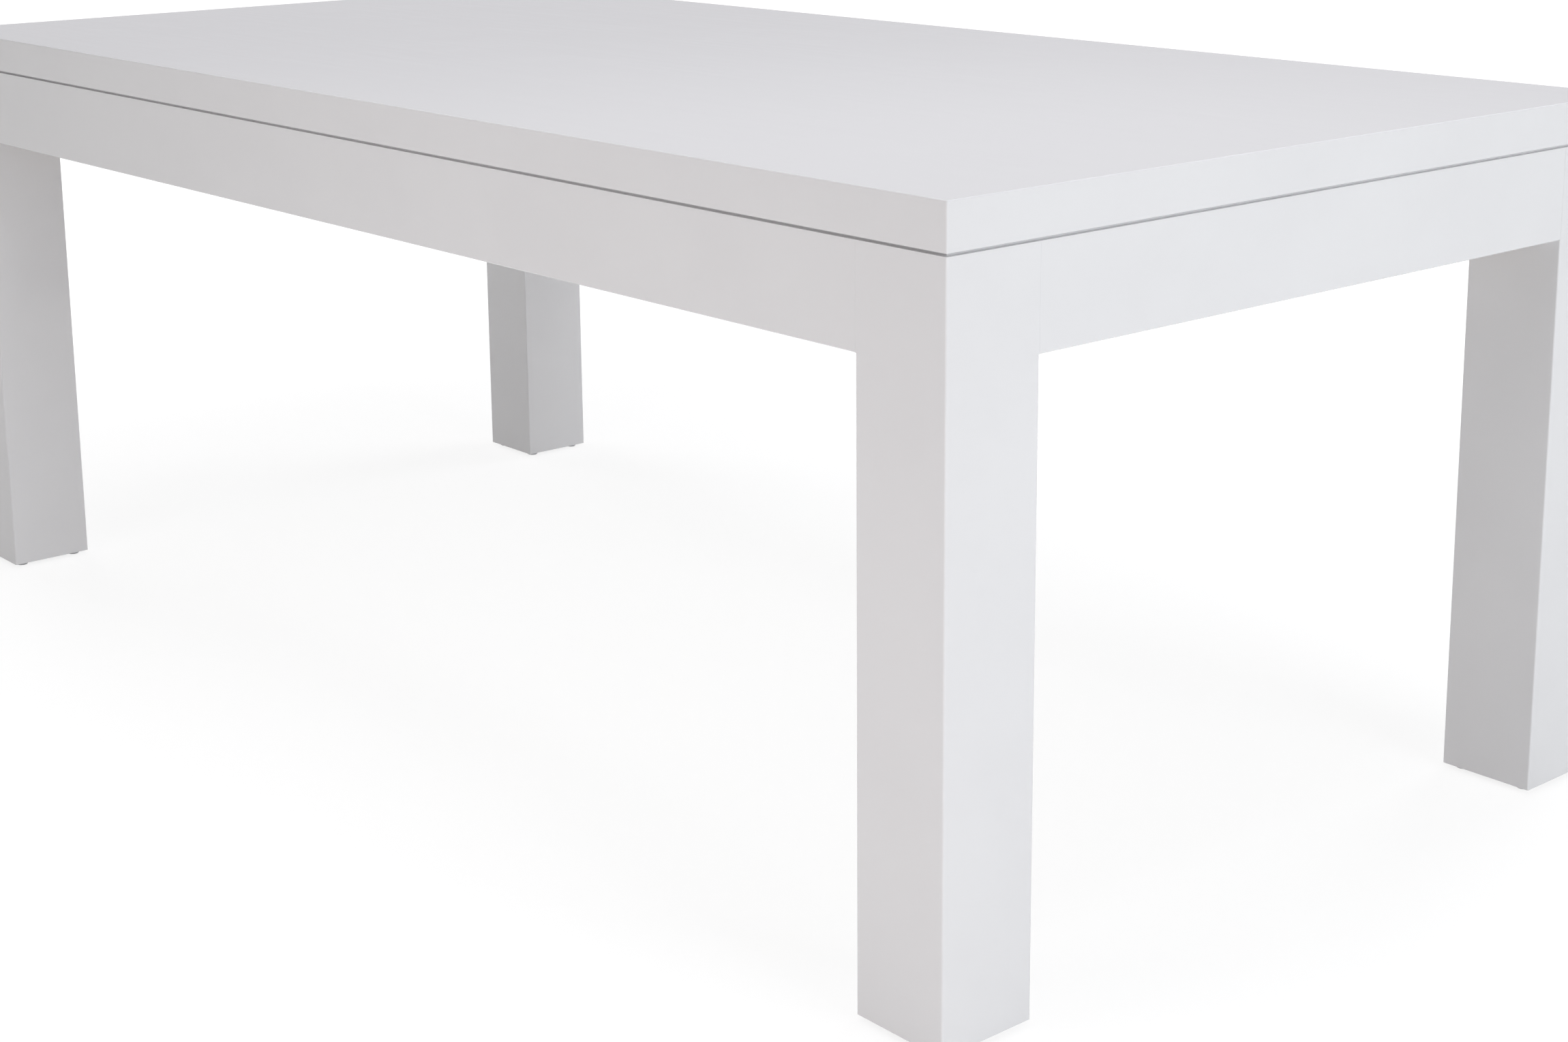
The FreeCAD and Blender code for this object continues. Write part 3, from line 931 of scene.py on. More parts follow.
def turned_seats(node: str, lie: Lie) -> list[Seat]:
    """Read the seats of a node's round solids from the frame.

    Args:
        node: The node.
        lie: Whether the axis is the long way or the flat way of each solid.

    Returns:
        One seat for each solid. A pointed solid's axis runs from its point to its other end, and
        any other solid's axis runs towards the middle of the table.
    """
    middle = (CAD_BOX[0] + CAD_BOX[1]) / 2
    seats = []
    for points in islands(node):
        centre = points.mean(axis=0)
        axis = np.linalg.eigh(np.cov((points - centre).T))[1][:, lie.value]
        along = (points - centre) @ axis
        tips = (along.min(), along.max())
        first, last = (int(np.sum(np.abs(along - tip) < END_REACH)) for tip in tips)
        inwards = Vector(axis).dot(middle - Vector(centre)) >= 0
        if last < first or (last == first and not inwards):
            axis, along = -axis, -along
        radius = np.linalg.norm((points - centre) - np.outer(along, axis), axis=1).max()
        place = Vector(centre + axis * along.max())
        turn = Vector(axis).to_track_quat("Z", "Y").to_matrix()
        seats.append(Seat(place, turn, float(np.ptp(along)), float(radius)))
    return seats


def bracket_seats(node: str) -> list[Seat]:
    """Read the seats of a node's angle brackets from the frame.

    Args:
        node: The node.

    Returns:
        One seat for each bracket, at its bend, with X and Y along its two legs.
    """
    seats = []
    for points in islands(node):
        low, high = points.min(axis=0), points.max(axis=0)
        middle = (low + high) / 2
        width_axis = int(np.argmin(high - low))
        legs = [axis for axis in range(3) if axis != width_axis]
        place, ways = Vector(middle), []
        for axis in legs:
            sign = 1.0 if points[:, axis].mean() < middle[axis] else -1.0
            place[axis] = low[axis] if sign > 0 else high[axis]
            ways.append(Vector(np.eye(3)[axis] * sign))
        length, width = (float(high[axis] - low[axis]) for axis in (legs[0], width_axis))
        seats.append(Seat(place, turn_onto(*ways), length, width / 2))
    return seats


class GeometryGraph(Graph):
    """A geometry node tree that shapes one small part and repeats it on its seats."""

    helix_steps: ClassVar[int] = 14
    ridge_sides: ClassVar[int] = 4

    def __init__(self, name: str) -> None:
        """Start a tree that takes in points and gives out parts.

        Args:
            name: The name of the tree.
        """
        super().__init__(bpy.data.node_groups.new(name, "GeometryNodeTree"))
        self.values: dict[str, object] = {}
        self.entry = self.add("NodeGroupInput")
        self.tree.interface.new_socket("Parts", in_out="OUTPUT", socket_type="NodeSocketGeometry")
        self.seats = self.given("Seats", None, "NodeSocketGeometry")

    def given(self, name: str, value: object, kind: str = "NodeSocketFloat") -> Signal:
        """Add a named input to the tree.

        Args:
            name: The name of the input.
            value: What the modifier gives it, or None for the points themselves.
            kind: Blender's name for the type of socket.

        Returns:
            The input.
        """
        socket = self.tree.interface.new_socket(name, in_out="INPUT", socket_type=kind)
        if value is not None:
            self.values[socket.identifier] = value
        return Signal(self, self.entry.outputs[name])

    def vector(self, x: object = 0.0, y: object = 0.0, z: object = 0.0) -> Signal:
        """Join three values into a vector."""
        return self.node("ShaderNodeCombineXYZ", {"X": x, "Y": y, "Z": z})

    def chosen(self, kind: str, values: Sequence[object]) -> Signal:
        """Give each point the value that has the point's number.

        Args:
            kind: Blender's name for the type of the values.
            values: The values, one for each point.

        Returns:
            The value at each point.
        """
        number = self.node("GeometryNodeInputIndex")
        sockets = {"Index": number} | {str(place): value for place, value in enumerate(values)}
        return self.node("GeometryNodeIndexSwitch", sockets, data_type=kind, items=len(values))

    def path(self, points: Sequence[Signal]) -> Signal:
        """Draw straight runs through points.

        Args:
            points: The points, in order.

        Returns:
            The curve.
        """
        line = self.node("GeometryNodeMeshLine", {"Count": len(points)})
        sockets = {"Geometry": line, "Position": self.chosen("VECTOR", points)}
        drawn = self.node("GeometryNodeSetPosition", sockets)
        return self.node("GeometryNodeMeshToCurve", {"Mesh": drawn})

    def circle(self, radius: object, sides: int) -> Signal:
        """Draw a circle about Z."""
        size = {"Resolution": sides, "Radius": radius}
        return self.node("GeometryNodeCurvePrimitiveCircle", size)

    def turned(self, profile: Sequence[tuple[object, object]], around: Signal | int) -> Signal:
        """Turn a solid about Z.

        Args:
            profile: Its (radius, height) points from one end to the other, with no way back.
            around: The number of sides of its round, or another round with a radius of 1.

        Returns:
            The solid.
        """
        spine = self.path([self.vector(z=height) for _, height in profile])
        sockets = {
            "Curve": spine,
            "Profile Curve": around if isinstance(around, Signal) else self.circle(1.0, around),
            "Scale": self.chosen("FLOAT", [radius for radius, _ in profile]),
            "Fill Caps": True,
        }
        return self.node("GeometryNodeCurveToMesh", sockets)

    def slab(self, outline: Signal, thickness: object) -> Signal:
        """Raise a closed curve in X and Y into a solid.

        Args:
            outline: The curve.
            thickness: How far it is raised along Z.

        Returns:
            The solid.
        """
        face = self.node("GeometryNodeFillCurve", {"Curve": outline}, mode="NGONS")
        raise_by = {"Offset": (0, 0, 1), "Offset Scale": thickness, "Individual": False}
        raised = self.node("GeometryNodeExtrudeMesh", {"Mesh": face} | raise_by)
        under = self.node("GeometryNodeFlipFaces", {"Mesh": face})
        sockets = {"Geometry": self.joined([raised, under]), "Distance": WELD}
        return self.node("GeometryNodeMergeByDistance", sockets)

    def joined(self, shapes: list[Signal]) -> Signal:
        """Put shapes together."""
        return self.node("GeometryNodeJoinGeometry", {"Geometry": shapes})

    def combined(self, operation: str, first: Signal | None, others: list[Signal]) -> Signal:
        """Cut, cross or unite solids."""
        solids = {0: first, 1: others}
        return self.node("GeometryNodeMeshBoolean", solids, operation=operation, solver="EXACT")

    def moved(self, shape: Signal, by: object = None, turn: object = None) -> Signal:
        """Turn a shape and then move it."""
        sockets = {"Geometry": shape, "Translation": by, "Rotation": turn}
        return self.node("GeometryNodeTransform", sockets)

    def rounded(self, curve: Signal, radius: object, steps: int) -> Signal:
        """Round the corners of a curve."""
        sockets = {"Curve": curve, "Count": steps, "Radius": radius}
        return self.node("GeometryNodeFilletCurve", sockets, mode="POLY")

    def rod(self, radius: object, length: object, sides: int) -> Signal:
        """Give a plain rod along Z, with its middle at the origin."""
        size = {"Vertices": sides, "Radius": radius, "Depth": length}
        return self.node("GeometryNodeMeshCylinder", size)

    def cutter(self, radius: object, thickness: Signal, sides: int) -> Signal:
        """Give a rod at the origin that is long enough to cut through a thickness from its face."""
        return self.rod(radius, thickness * CUTTER_REACH, sides)

    def thread(
        self, radius: Signal, ridge: object, pitch: float, turns: Signal, top: object
    ) -> Signal:
        """Wind a ridge down a shank.

        Args:
            radius: The radius of the shank.
            ridge: How far the ridge stands out of the shank.
            pitch: The drop of each turn.
            turns: The number of turns.
            top: The height at which the ridge starts.

        Returns:
            The ridge as a solid.
        """
        drop = turns * pitch
        helix = {"Resolution": self.helix_steps, "Rotations": turns, "Height": drop}
        helix |= {"Start Radius": radius, "End Radius": radius}
        sockets = {
            "Curve": self.node("GeometryNodeCurveSpiral", helix),
            "Profile Curve": self.circle(ridge, self.ridge_sides),
            "Fill Caps": True,
        }
        ridge_solid = self.node("GeometryNodeCurveToMesh", sockets)
        return self.moved(ridge_solid, self.vector(z=top - drop))

    def repeated(self, part: Signal, spin: float, seed: int, material: bpy.types.Material) -> None:
        """End the tree with the part on every seat.

        Args:
            part: One part, with its outer end at the origin and its own Z out of the work.
            spin: The most that a part is turned about its own Z, in radians.
            seed: The seed of those turns.
            material: The material of every part.
        """
        name = {"Name": TURN}
        euler = self.node("GeometryNodeInputNamedAttribute", name, data_type="FLOAT_VECTOR")
        turn = self.node("FunctionNodeEulerToRotation", {"Euler": euler})
        draw = {
            "Min": 0.0,
            "Max": self.given("Spin", spin),
            "Seed": self.given("Seed", seed, "NodeSocketInt"),
        }
        angle = self.node("FunctionNodeRandomValue", draw, output="Value", data_type="FLOAT")
        own = self.node("FunctionNodeAxisAngleToRotation", {"Axis": (0, 0, 1), "Angle": angle})
        both = {"Rotation": turn, "Rotate By": own}
        spun = self.node("FunctionNodeRotateRotation", both, rotation_space="LOCAL")
        sockets = {"Points": self.seats, "Instance": part, "Rotation": spun}
        placed = self.node("GeometryNodeInstanceOnPoints", sockets)
        real = self.node("GeometryNodeRealizeInstances", {"Geometry": placed})
        finish = self.given("Finish", material, "NodeSocketMaterial")
        painted = self.node("GeometryNodeSetMaterial", {"Geometry": real, "Material": finish})
        self.add("NodeGroupOutput", {"Parts": painted})


@dataclass
class SmallPart(ABC):
    """A small part that repeats, grown by a node tree on the seats that the frame gives it."""

    name: str
    node: str
    finish: Finish
    seed: int = 1

    lie: ClassVar[Lie] = Lie.LONG
    spin: ClassVar[float] = math.tau
    sides: ClassVar[int] = 28

    @abstractmethod
    def shape(self, graph: GeometryGraph, radius: Signal, length: Signal) -> Signal:
        """Shape one part, with its outer end at the origin and its own Z out of the work.

        Args:
            graph: The tree to shape it in.
            radius: The part's radius, or half the width of a bracket.
            length: Its length along Z, or the length of a bracket's legs.

        Returns:
            The part.
        """

    def seats(self) -> list[Seat]:
        """Read the part's seats from the frame."""
        return turned_seats(self.node, self.lie)

    def build(self) -> None:
        """Grow the parts on their seats as one piece, and set it on the frame."""
        seats = self.seats()
        points = bpy.data.meshes.new(self.name)
        points.from_pydata([seat.place for seat in seats], [], [])
        turns = [value for seat in seats for value in seat.turn.to_euler()]
        points.attributes.new(TURN, "FLOAT_VECTOR", "POINT").data.foreach_set("vector", turns)
        graph = GeometryGraph(self.name)
        radius = graph.given("Radius", seats[0].radius)
        part = self.shape(graph, radius, graph.given("Length", seats[0].length))
        graph.repeated(part, self.spin, self.seed, self.finish.material())
        piece = linked(self.name, points)
        modifier = piece.modifiers.new("grow", "NODES")
        modifier.node_group = graph.tree
        for identifier, value in graph.values.items():
            modifier[identifier] = value
        settle(piece)
        bpy.data.node_groups.remove(graph.tree)
        solid = bmesh.new()
        solid.from_mesh(piece.data)
        welded(solid).to_mesh(piece.data)
        solid.free()
        if TURN in piece.data.attributes:
            piece.data.attributes.remove(piece.data.attributes[TURN])
        dress(piece, self.finish, self.node)


@dataclass
class WoodScrew(SmallPart):
    """Pan-head wood screw with a cross recess and a coarse thread."""

    head_height: float = 2.4 * MM
    core: float = 1.45 * MM
    ridge: float = 0.55 * MM
    pitch: float = 1.8 * MM
    point: float = 4.0 * MM
    plain: float = 3.0 * MM
    recess_width: float = 0.95 * MM
    recess_span: float = 1.15
    recess_depth: float = 1.5 * MM

    crown: ClassVar[tuple[Span, ...]] = (
        (0.0, 0.0),
        (0.40, 0.02),
        (0.66, 0.12),
        (0.84, 0.30),
        (0.95, 0.56),
        (1.0, 0.80),
        (0.99, 1.0),
    )

    def shape(self, graph: GeometryGraph, radius: Signal, length: Signal) -> Signal:
        """Turn the head and shank, wind the thread, and cut the recess.

        Args:
            graph: The tree to shape the screw in.
            radius: The radius of its head.
            length: Its length from the crown to the point.

        Returns:
            The screw.
        """
        high = graph.given("Head Height", self.head_height)
        core = graph.given("Core Radius", self.core)
        profile = [(radius * across, high * -down) for across, down in self.crown]
        profile += [(core, -high), (core, self.point - length), (0.0, -length)]
        body = graph.turned(profile, self.sides)
        turns = (length - high - self.plain - self.point) / self.pitch
        thread = graph.thread(core, self.ridge, self.pitch, turns, -self.plain - self.head_height)
        slot = graph.given("Recess Width", self.recess_width)
        span = radius * self.recess_span
        deep = graph.given("Recess Depth", self.recess_depth)
        plans = ((slot, span), (span, slot))
        # The middle of each wing is at the crown, so half of its height cuts.
        sizes = [graph.vector(across, along, deep * 2.0) for across, along in plans]
        wings = [graph.node("GeometryNodeMeshCube", {"Size": size}) for size in sizes]
        return graph.joined([graph.combined("DIFFERENCE", body, wings), thread])


@dataclass
class HangerBolt(SmallPart):
    """Hanger bolt: machine thread at its outer end, plain waist, and wood thread at its point."""

    machine_pitch: float = 1.25 * MM
    machine_depth: float = 0.55 * MM
    machine_length: float = 26.0 * MM
    wood_pitch: float = 3.2 * MM
    wood_depth: float = 1.1 * MM
    wood_length: float = 36.0 * MM
    point: float = 8.0 * MM
    chamfer: float = 1.0 * MM
    chamfer_depth: float = 0.6 * MM

    def shape(self, graph: GeometryGraph, radius: Signal, length: Signal) -> Signal:
        """Turn the rod and wind both threads.

        Args:
            graph: The tree to shape the bolt in.
            radius: The radius of its waist.
            length: Its length with the point.

        Returns:
            The bolt.
        """
        fine = graph.given("Machine Thread Depth", self.machine_depth)
        coarse = graph.given("Wood Thread Depth", self.wood_depth)
        fine_core = radius - fine
        coarse_core = radius - coarse
        machine_end = -self.machine_length
        wood_top = self.wood_length + self.point - length
        profile = [
            (0.0, 0.0),
            (fine_core - self.chamfer_depth, 0.0),
            (fine_core, -self.chamfer),
            (fine_core, machine_end),
            (radius, machine_end - self.chamfer),
            (radius, wood_top + self.chamfer),
            (coarse_core, wood_top),
            (coarse_core, self.point - length),
            (0.0, -length),
        ]
        threaded = self.machine_length - 2 * self.chamfer
        machine_turns = graph.given("Machine Turns", threaded / self.machine_pitch)
        machine = graph.thread(fine_core, fine, self.machine_pitch, machine_turns, -self.chamfer)
        wood_turns = graph.given("Wood Turns", self.wood_length / self.wood_pitch)
        wood = graph.thread(coarse_core, coarse, self.wood_pitch, wood_turns, wood_top)
        return graph.joined([graph.turned(profile, self.sides), machine, wood])


@dataclass
class Washer(SmallPart):
    """Stamped washer with a rolled upper edge."""

    hole: float = 4.4 * MM
    edge: float = 0.4 * MM
    roll: float = 0.3

    lie: ClassVar[Lie] = Lie.FLAT
    sides: ClassVar[int] = 56

    def shape(self, graph: GeometryGraph, radius: Signal, length: Signal) -> Signal:
        """Turn the disc and punch the hole.

        Args:
            graph: The tree to shape the washer in.
            radius: The radius of its rim.
            length: Its thickness.

        Returns:
            The washer.
        """
        edge = graph.given("Edge", self.edge)
        rolled = (radius - edge * self.roll, edge * -self.roll)
        upper = [(0.0, 0.0), (radius - edge, 0.0), rolled, (radius, -edge)]
        disc = graph.turned([*upper, (radius, -length), (0.0, -length)], self.sides)
        hole = graph.given("Hole Radius", self.hole)
        return graph.combined("DIFFERENCE", disc, [graph.cutter(hole, length, CUTTER_SIDES)])


@dataclass
class HexNut(SmallPart):
    """Hexagon nut with both faces chamfered."""

    bore: float = 3.6 * MM
    chamfer: float = 0.13
    face_share: float = 0.96
    rim_share: float = 1.02

    lie: ClassVar[Lie] = Lie.FLAT
    sides: ClassVar[int] = 48

    def shape(self, graph: GeometryGraph, radius: Signal, length: Signal) -> Signal:
        """Cross a hexagon with a chamfered disc, and bore it.

        Args:
            graph: The tree to shape the nut in.
            radius: The radius to its corners.
            length: Its height.

        Returns:
            The nut.
        """
        drop = length * self.chamfer
        hexagon = graph.moved(graph.rod(radius, length, sides=6), graph.vector(z=length * -0.5))
        face = radius * (math.sqrt(3) / 2) * self.face_share
        rim = radius * self.rim_share
        upper = [(0.0, 0.0), (face, 0.0), (rim, -drop)]
        lower = [(rim, drop - length), (face, -length), (0.0, -length)]
        disc = graph.turned(upper + lower, self.sides)
        nut = graph.combined("INTERSECT", None, [hexagon, disc])
        bore = graph.given("Bore Radius", self.bore)
        return graph.combined("DIFFERENCE", nut, [graph.cutter(bore, length, CUTTER_SIDES)])


@dataclass
class FlutedDowel(SmallPart):
    """Fluted dowel with chamfered ends."""

    flutes: int = 16
    flute_depth: float = 0.09
    chamfer: float = 1.0 * MM

    def shape(self, graph: GeometryGraph, radius: Signal, length: Signal) -> Signal:
        """Run a fluted round along the dowel.

        Args:
            graph: The tree to shape the dowel in.
            radius: The radius to the crests of its flutes.
            length: Its length.

        Returns:
            The dowel.
        """
        neck = radius - self.chamfer
        flutes = graph.given("Flutes", self.flutes, "NodeSocketInt")
        star = {"Points": flutes, "Inner Radius": 1.0 - self.flute_depth, "Outer Radius": 1.0}
        fluted = graph.node("GeometryNodeCurveStar", star)
        upper = [(neck, 0.0), (radius, -self.chamfer)]
        lower = [(radius, self.chamfer - length), (neck, -length)]
        return graph.turned(upper + lower, fluted)


@dataclass
class Glide(SmallPart):
    """Round nylon glide with a rolled foot and a collar round its nail."""

    foot_edge: float = 1.5 * MM

    lie: ClassVar[Lie] = Lie.FLAT
    sides: ClassVar[int] = 40
    rim: ClassVar[tuple[Span, ...]] = (
        (0.0, 0.0),
        (0.97, 0.0),
        (1.0, 0.06),
        (1.0, 0.26),
        (0.965, 0.32),
        (1.0, 0.38),
    )

    def shape(self, graph: GeometryGraph, radius: Signal, length: Signal) -> Signal:
        """Turn the glide, with a shallow groove under its rim.

        Args:
            graph: The tree to shape the glide in.
            radius: The radius of its rim.
            length: Its height.

        Returns:
            The glide.
        """
        edge = graph.given("Foot Edge", self.foot_edge)
        rim = [(radius * across, length * -down) for across, down in self.rim]
        foot = [(radius - edge * gone, edge * left - length) for gone, left in QUARTER_ROUND]
        return graph.turned([*rim, *foot, (0.0, -length)], self.sides)


@dataclass
class RingNail(SmallPart):
    """Ring-shank nail moulded into a glide."""

    rings: int = 8
    ring_depth: float = 0.12
    ring_start: float = 0.15
    point: float = 3.0 * MM
    collar: float = 4.0 * MM

    sides: ClassVar[int] = 16

    def shape(self, graph: GeometryGraph, radius: Signal, length: Signal) -> Signal:
        """Turn the shank with its rings and point.

        Args:
            graph: The tree to shape the nail in.
            radius: The radius of its shank.
            length: Its length with the point.

        Returns:
            The nail.
        """
        ringed = (length - self.point - self.collar) / self.rings
        profile = [(0.0, 0.0), (radius, 0.0), (radius, -self.collar)]
        waist = radius * (1 - self.ring_depth)
        for ring in range(self.rings):
            profile.append((waist, -self.collar - ringed * (ring + self.ring_start)))
            profile.append((radius, -self.collar - ringed * (ring + 1.0)))
        profile += [(radius, self.point - length), (0.0, -length)]
        return graph.turned(profile, self.sides)


@dataclass
class AngleBracket(SmallPart):
    """Bent steel bracket with rounded tips and a hole in each leg."""

    thickness: float = 2.0 * MM
    bend: float = 4.0 * MM
    bend_steps: int = 7
    tip: float = 4.0 * MM
    tip_steps: int = 6
    hole: float = 2.4 * MM
    hole_place: float = 22.0 * MM

    spin: ClassVar[float] = 0.0

    def seats(self) -> list[Seat]:
        """Read the brackets' seats from the frame."""
        return bracket_seats(self.node)

    def shape(self, graph: GeometryGraph, radius: Signal, length: Signal) -> Signal:
        """Raise the bent profile, round its tips, and punch its holes.

        Args:
            graph: The tree to shape the bracket in.
            radius: Half of its width.
            length: The length of each leg.

        Returns:
            The bracket.
        """
        leg, width = length, radius * 2.0
        thick = graph.given("Thickness", self.thickness)
        bend = graph.given("Bend Radius", self.bend)
        tip = graph.given("Tip Radius", self.tip)
        corners = [(0.0, 0.0), (leg, 0.0), (leg, thick), (thick, thick), (thick, leg), (0.0, leg)]
        path = graph.path([graph.vector(x, y) for x, y in corners])
        ring = graph.node("GeometryNodeSetSplineCyclic", {"Geometry": path, "Cyclic": True})
        radii = graph.chosen("FLOAT", [bend, 0.0, 0.0, bend - thick, 0.0, 0.0])
        bar = graph.slab(graph.rounded(ring, radii, self.bend_steps), width)
        bar = graph.moved(bar, graph.vector(z=width * -0.5))
        # A block with rounded corners lies over each leg and trims its tip.
        size = {"Width": leg * 2.0, "Height": width}
        blank = graph.node("GeometryNodeCurvePrimitiveQuadrilateral", size)
        block = graph.slab(graph.rounded(blank, tip, self.tip_steps), leg * 3.0)
        over_x = graph.moved(block, graph.vector(y=leg * 2.0), (math.pi / 2, 0.0, 0.0))
        over_y = graph.moved(over_x, graph.vector(x=leg), (0.0, 0.0, math.pi / 2))
        punch = graph.cutter(graph.given("Hole Radius", self.hole), thick, self.sides)
        place = graph.given("Hole Place", self.hole_place)
        holes = [
            graph.moved(punch, graph.vector(x=place), (math.pi / 2, 0.0, 0.0)),
            graph.moved(punch, graph.vector(y=place), (0.0, math.pi / 2, 0.0)),
        ]
        bracket = graph.combined("INTERSECT", None, [bar, over_x, over_y])
        return graph.combined("DIFFERENCE", bracket, holes)


# Sub-assemblies

@dataclass
class TableTop:
    """Lacquered sheet, doubled up along its edges by mitred strips, with two battens under it."""

    lacquer: GlossLacquer
    primer: PrimedBoard
    arris: float = 1.5 * MM
    lower_arris: float = 0.8 * MM
    polish_ends: Span = (0.3, -0.9)
    batten_ease: float = 1.2 * MM

    def build(self) -> None:
        """Build the sheet, the strips and the battens."""
        self.sheet()
        for side in SIDES:
            self.strip(side)
        for side in ENDS:
            self.batten(side)

    def sheet(self) -> None:
        """Build the sheet, with its upper edges and its corners eased."""
        piece = as_object("lacquered_sheet", board("top_sheet", self.arris, high=self.arris))
        dress(piece, self.lacquer, "top_sheet", lambda _, way: way.z > -LEAN)

    def frame_ring(self) -> Solid:
        """Give the four strips as one uncut ring, with its lower outer edge eased.

        Returns:
            The ring.
        """
        low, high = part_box("top_sheet")
        inner_low = Vector((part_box("edge_strip_left")[1].x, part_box("edge_strip_front")[1].y))
        strip_low, strip_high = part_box("edge_strip_front")
        outer = Outline.box(low, high, self.arris)
        inner = Outline.box(inner_low, -inner_low)
        rings = [outer.ring(strip_high.z)]
        for gone, left in QUARTER_ROUND:
            height = strip_low.z + self.lower_arris * left
            rings.append(outer.inset(self.lower_arris * gone).ring(height))
        rings += [inner.ring(strip_low.z), inner.ring(strip_high.z)]
        return loft(rings, closed=True)

    def strip(self, side: str) -> None:
        """Build the strip along one side, mitred out of the ring.

        Args:
            side: The side of the table.
        """
        outward = SIDES[side]
        along = outward.cross(UP)
        cuts = [(CAD_BOX[1] * (outward + end), end - outward) for end in (along, -along)]
        cuts.append((Vector(), -outward))
        solid = self.frame_ring()
        for spot, away in cuts:
            whole = [*solid.verts, *solid.edges, *solid.faces]
            plane = {"plane_co": spot, "plane_no": away, "clear_outer": True}
            bmesh.ops.bisect_plane(solid, geom=whole, dist=WELD, **plane)
            rims = [edge for edge in solid.edges if edge.is_boundary]
            bmesh.ops.holes_fill(solid, edges=rims, sides=0)
        # The polish runs round the lower arris and stops short of the underside.
        out, down = self.polish_ends
        dress(
            as_object(f"lacquered_strip_{side}", welded(solid)),
            self.lacquer,
            f"edge_strip_{side}",
            lambda _, way: way.dot(outward) > out and way.z > down,
        )

    def batten(self, side: str) -> None:
        """Build one batten, with its lower edges eased.

        Args:
            side: The end of the table that it is nearer to.
        """
        node = f"top_batten_{side}"
        solid = board(node, low=self.batten_ease)
        dress(as_object(f"primed_batten_{side}", solid), self.primer, node)


@dataclass(frozen=True)
class ShadowGap:
    """The groove under the top that runs round the aprons and the legs."""

    height: float = 2.5 * MM
    depth: float = 6.0 * MM


@dataclass
class ApronFrame:
    """Four aprons, rebated for the shadow gap, with two cross rails and the dowels to the legs."""

    lacquer: GlossLacquer
    beech: Beech
    arris: float = 1.5 * MM
    lip: float = 0.3 * MM
    gap: ShadowGap = ShadowGap()
    hairline: float = 0.25 * MM
    housing_slack: float = 0.2 * MM
    rail_ease: float = 1.0 * MM

    def build(self) -> None:
        """Build the aprons, the rails and the dowels."""
        for side in SIDES:
            self.apron(side)
        for side in ENDS:
            self.rail(side)
        FlutedDowel("fluted_dowels", "apron_dowels", Beech.along(Grain.ALONG_Y)).build()

    def section(self, thickness: float, low: float, high: float, set_back: float) -> Outline:
        """Give an apron's section: X runs outwards from its show face, and Y up.

        Args:
            thickness: The thickness of the apron.
            low: The height of its lower edge.
            high: The height of its upper edge.
            set_back: How far its show face is drawn back, as at a joint.

        Returns:
            The section.
        """
        lip = high - self.gap.height
        corners = (
            Corner(-set_back, low, self.arris),
            Corner(-set_back, lip, self.lip),
            Corner(-self.gap.depth, lip),
            Corner(-self.gap.depth, high),
            Corner(-thickness, high),
            Corner(-thickness, low, self.arris),
        )
        return Outline(corners)

    def apron(self, side: str) -> None:
        """Build one apron, with fine bevels where it meets the legs.

        Args:
            side: The side of the table.
        """
        outward = SIDES[side]
        node = f"apron_{side}"
        low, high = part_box(node)
        size = high - low
        thickness = min(size.x, size.y)
        half = max(size.x, size.y) / 2
        full = self.section(thickness, low.z, high.z, 0.0)
        joint = self.section(thickness, low.z, high.z, self.hairline)
        run = half - self.hairline
        rings = [joint.ring(-half), full.ring(-run), full.ring(run), joint.ring(half)]
        face = Vector((outward.x * CAD_BOX[1].x, outward.y * CAD_BOX[1].y, 0))
        piece = as_object(f"lacquered_{node}", laid(loft(rings), turn_onto(outward, UP), face))
        if outward.y:
            cut(piece, self.housings())
        dress(
            piece,
            self.lacquer,
            node,
            lambda spot, way: way.dot(outward) > -LEAN and (way.z < LEAN or spot.z < high.z - WELD),
        )

    def housings(self) -> Solid:
        """Give the room that the cross rails take in the long aprons.

        Returns:
            The blocks to cut out.
        """
        room = bmesh.new()
        for side in ENDS:
            low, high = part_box(f"cross_rail_{side}")
            slack = Vector((self.housing_slack, 0, 0))
            above = Vector((0, 0, self.gap.height))
            size = high + above - low + slack * 2
            middle = (high + above + low) / 2
            bmesh.ops.create_cube(room, size=1.0, matrix=Matrix.LocRotScale(middle, None, size))
        return room

    def rail(self, side: str) -> None:
        """Build one cross rail, with its long edges eased.

        Args:
            side: The end of the table that it is nearer to.
        """
        node = f"cross_rail_{side}"
        low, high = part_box(node)
        section = Outline.box((low.z, low.x), (high.z, high.x), self.rail_ease)
        solid = laid(eased_prism(section, low.y, high.y), turn_onto(UP, SIDES["right"]))
        dress(as_object(f"beech_{node}", solid), self.beech, node)


def plan_corners(node: str, corner: str) -> tuple[Vector, Vector]:
    """Give the outer and the inner corner of a node at a corner of the table, seen from above.

    Args:
        node: The node.
        corner: The corner of the table that it is at.

    Returns:
        The corner furthest from the table's middle, and the one nearest to it.
    """
    low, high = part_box(node)
    outer = [high[axis] if sign > 0 else low[axis] for axis, sign in enumerate(CORNERS[corner])]
    inner = [low[axis] if sign > 0 else high[axis] for axis, sign in enumerate(CORNERS[corner])]
    return Vector(outer), Vector(inner)


